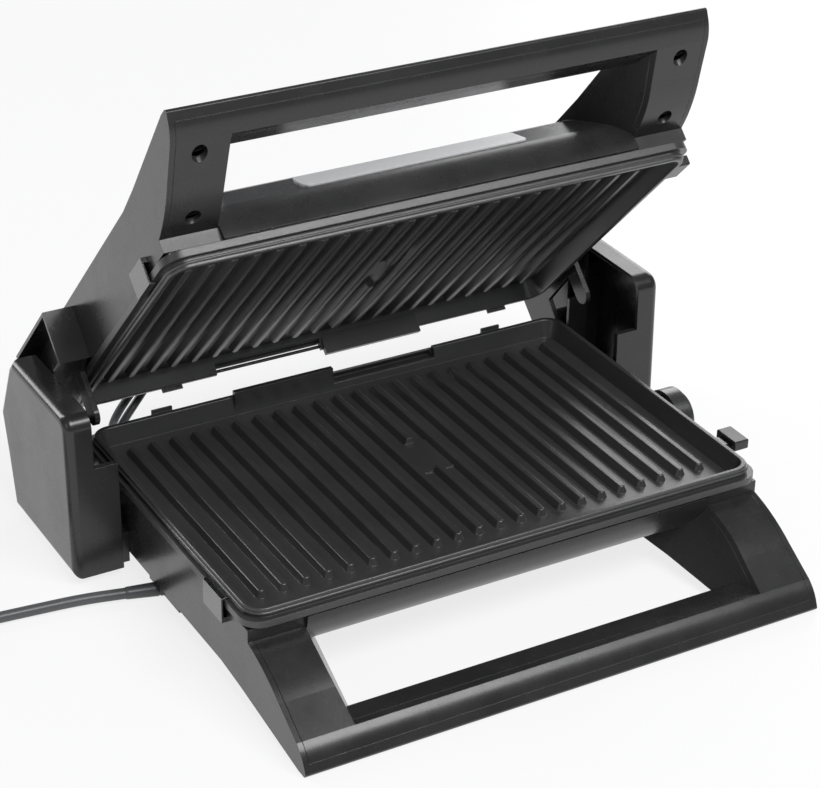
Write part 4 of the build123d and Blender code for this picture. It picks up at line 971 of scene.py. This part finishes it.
def screw_tree():
    """Geometry nodes: a cross-head screw on every point, turned along the point's own direction."""
    tree = bpy.data.node_groups.new("Cross-head screws", "GeometryNodeTree")
    tree.interface.new_socket("Geometry", in_out="INPUT", socket_type="NodeSocketGeometry")
    for label, default in (
        ("Head Radius", 0.0034), ("Head Height", 0.0021), ("Recess Length", 0.0038),
        ("Recess Width", 0.0009), ("Recess Depth", 0.0012), ("Shank Radius", 0.0014),
        ("Shank Length", 0.008),
    ):
        socket = tree.interface.new_socket(label, in_out="INPUT", socket_type="NodeSocketFloat")
        socket.default_value = default
    tree.interface.new_socket("Finish", in_out="INPUT", socket_type="NodeSocketMaterial")
    tree.interface.new_socket("Geometry", in_out="OUTPUT", socket_type="NodeSocketGeometry")
    nodes = Nodes(tree)
    given = nodes.add("NodeGroupInput").outputs
    result = nodes.add("NodeGroupOutput").inputs

    def shifted(geometry, x, y, z):
        place = nodes.put(nodes.add("ShaderNodeCombineXYZ"), X=x, Y=y, Z=z)
        move = nodes.add("GeometryNodeTransform")
        nodes.link(geometry, move.inputs["Geometry"])
        nodes.link(place.outputs[0], move.inputs["Translation"])
        return move.outputs[0]

    head = nodes.put(
        nodes.add("GeometryNodeMeshCone"), Vertices=28, Side_Segments=1,
        Radius_Top=nodes.maths("MULTIPLY", given["Head Radius"], 0.78), Radius_Bottom=given["Head Radius"],
        Depth=given["Head Height"],
    )
    arms = nodes.add("GeometryNodeJoinGeometry")
    for along_x in (True, False):
        size = nodes.add("ShaderNodeCombineXYZ")
        nodes.link(given["Recess Length"], size.inputs[0 if along_x else 1])
        nodes.link(given["Recess Width"], size.inputs[1 if along_x else 0])
        nodes.link(nodes.maths("MULTIPLY", given["Recess Depth"], 2.0), size.inputs[2])
        cube = nodes.add("GeometryNodeMeshCube")
        nodes.link(size.outputs[0], cube.inputs["Size"])
        nodes.link(shifted(cube.outputs["Mesh"], 0.0, 0.0, given["Head Height"]), arms.inputs[0])
    cut = nodes.add("GeometryNodeMeshBoolean", operation="DIFFERENCE", solver="EXACT")
    nodes.link(head.outputs["Mesh"], cut.inputs["Mesh 1"])
    nodes.link(arms.outputs[0], cut.inputs["Mesh 2"])
    shank = nodes.put(
        nodes.add("GeometryNodeMeshCylinder"), Vertices=16, Radius=given["Shank Radius"],
        Depth=given["Shank Length"],
    )
    half_down = nodes.maths("MULTIPLY", given["Shank Length"], -0.5)
    both = nodes.add("GeometryNodeJoinGeometry")
    nodes.link(cut.outputs["Mesh"], both.inputs[0])
    nodes.link(shifted(shank.outputs["Mesh"], 0.0, 0.0, half_down), both.inputs[0])
    heading = nodes.add("GeometryNodeInputNamedAttribute", data_type="FLOAT_VECTOR")
    heading.inputs["Name"].default_value = "facing"
    align = nodes.add("FunctionNodeAlignRotationToVector", axis="Z")
    nodes.link(heading.outputs["Attribute"], align.inputs["Vector"])
    spread = nodes.add("GeometryNodeInstanceOnPoints")
    nodes.link(given["Geometry"], spread.inputs["Points"])
    nodes.link(both.outputs[0], spread.inputs["Instance"])
    nodes.link(align.outputs[0], spread.inputs["Rotation"])
    real = nodes.add("GeometryNodeRealizeInstances")
    nodes.link(spread.outputs[0], real.inputs[0])
    coat = nodes.add("GeometryNodeSetMaterial")
    nodes.link(real.outputs[0], coat.inputs["Geometry"])
    nodes.link(given["Finish"], coat.inputs["Material"])
    nodes.link(coat.outputs[0], result[0])
    return tree


def with_nodes(name, points, facings, tree, values):
    """Plain mesh of a geometry node tree run on points that each face one way."""
    mesh = bpy.data.meshes.new(name)
    mesh.from_pydata([tuple(p) for p in points], [], [])
    facing = mesh.attributes.new("facing", "FLOAT_VECTOR", "POINT")
    for slot_value, way in zip(facing.data, facings):
        slot_value.vector = way
    carrier = bpy.data.objects.new(name, mesh)
    bpy.context.scene.collection.objects.link(carrier)
    modifier = carrier.modifiers.new("nodes", "NODES")
    modifier.node_group = tree
    for item in tree.interface.items_tree:
        if item.item_type == "SOCKET" and item.in_out == "INPUT" and item.name in values:
            modifier[item.identifier] = values[item.name]
    bpy.context.view_layer.update()
    shown = carrier.evaluated_get(bpy.context.evaluated_depsgraph_get())
    result = bpy.data.meshes.new_from_object(shown)
    result.name = name
    bpy.data.objects.remove(carrier)
    if not result.polygons:
        raise RuntimeError(f"{name}: the node tree made nothing")
    return result


class GRILL_OT_screws(bpy.types.Operator):
    """Cross-head screws in the lid's handle"""

    bl_idname = "grill.screws"
    bl_label = "Screws"

    def execute(self, context):
        settings = context.scene.grill_screws
        tree = screw_tree()
        sizes = {
            "Head Radius": settings.head_radius, "Head Height": settings.head_height,
            "Recess Length": settings.recess_length, "Shank Radius": settings.shank_radius,
            "Finish": finish("screw_steel"),
        }
        in_lid = [
            lid_point(side * x, f, o + SCREW_SEAT_LIFT) for side in (-1, 1) for x, f, o in HANDLE_SCREWS
        ]
        self.set_of("lid_screw_heads", in_lid, lid_way(0, 0, -1), tree, sizes, "lid", "lid_handle_screws")
        return {"FINISHED"}

    def set_of(self, name, places, facing, tree, sizes, body, node):
        """One set of screws on one body in place of its plain solids."""
        mesh = with_nodes(name, places, [facing] * len(places), tree, sizes)
        piece = place_piece(name, sharpen(mesh), "screw_steel", body)
        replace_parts(piece, node)


# Plate beads


def rim_path(half_width, front, rear, corner, steps=10):
    """Rounded rectangle of a plate's rim: across and forward of each point, and its outward side."""
    path = []
    corners = (
        (half_width - corner, front - corner, 0), (corner - half_width, front - corner, 90),
        (corner - half_width, corner - rear, 180), (half_width - corner, corner - rear, 270),
    )
    for x, f, start in corners:
        for k in range(steps + 1):
            turn = radians(start + 90 * k / steps)
            path.append((x + corner * cos(turn), f + corner * sin(turn), cos(turn), sin(turn)))
    return path


class GRILL_OT_plate_beads(bpy.types.Operator):
    """Raised bead round the rim of each cooking plate"""

    bl_idname = "grill.plate_beads"
    bl_label = "Plate beads"

    def execute(self, context):
        settings = context.scene.grill_plates
        for name, place, body in (("lower", base_point, "base"), ("upper", lid_point, "lid")):
            rings = []
            for x, f, side_x, side_f in rim_path(RIM_HALF_WIDTH, RIM_FRONT, RIM_REAR, RIM_CORNER):
                width, rise = settings.bead_width, settings.bead_rise
                rings.append(self.section(place, x, f, side_x, side_f, width, rise))
            rings.append(rings[0])
            verts, faces = ring_skin(rings, close_ends=False)
            piece_name = f"{name}_plate_bead"
            place_piece(piece_name, mesh_from(piece_name, verts, faces), "nonstick_coating", body)
        return {"FINISHED"}

    def section(self, place, x, f, side_x, side_f, width, rise):
        """Small half-round standing out of the rim's outer wall, between its lip and its flange."""
        points = []
        for k in range(9):
            turn = pi * k / 8 - pi / 2
            out = width / MM * cos(turn)
            level = BEAD_LEVEL + rise / MM * sin(turn)
            points.append(place(x + side_x * out, f + side_f * out, level))
        for level in (BEAD_LEVEL + rise / MM, BEAD_LEVEL - rise / MM):
            points.append(place(x - side_x * BEAD_ROOT, f - side_f * BEAD_ROOT, level))
        return points


# Panel and run


class GRILL_PT_panel(bpy.types.Panel):
    """The grill's sizes, finishes and pieces"""

    bl_idname = "GRILL_PT_panel"
    bl_label = "Electric contact grill"
    bl_space_type = "VIEW_3D"
    bl_region_type = "UI"
    bl_category = "Grill"

    def draw(self, context):
        for title, group in SETTINGS.items():
            box = self.layout.box()
            box.label(text=title.replace("_", " ").capitalize())
            for name in group.__annotations__:
                box.prop(getattr(context.scene, title), name)
        for operator in OPERATORS:
            self.layout.operator(operator.bl_idname)


SETTINGS = {
    "grill_finish": GrillFinishSettings,
    "grill_cord": GrillCordSettings,
    "grill_screws": GrillScrewSettings,
    "grill_plates": GrillPlateSettings,
    "grill_stage": GrillStageSettings,
}
OPERATORS = (
    GRILL_OT_stage, GRILL_OT_finishes, GRILL_OT_mains_cord, GRILL_OT_link_lead, GRILL_OT_screws,
    GRILL_OT_plate_beads,
)


def register():
    for cls in (*SETTINGS.values(), *OPERATORS, GRILL_PT_panel):
        bpy.utils.register_class(cls)
    for name, group in SETTINGS.items():
        setattr(bpy.types.Scene, name, PointerProperty(type=group))


def unregister():
    for name in SETTINGS:
        delattr(bpy.types.Scene, name)
    for cls in reversed((*SETTINGS.values(), *OPERATORS, GRILL_PT_panel)):
        bpy.utils.unregister_class(cls)


def main():
    register()
    for operator in OPERATORS:
        group, name = operator.bl_idname.split(".")
        getattr(getattr(bpy.ops, group), name)()


if __name__ == "__main__":
    main()
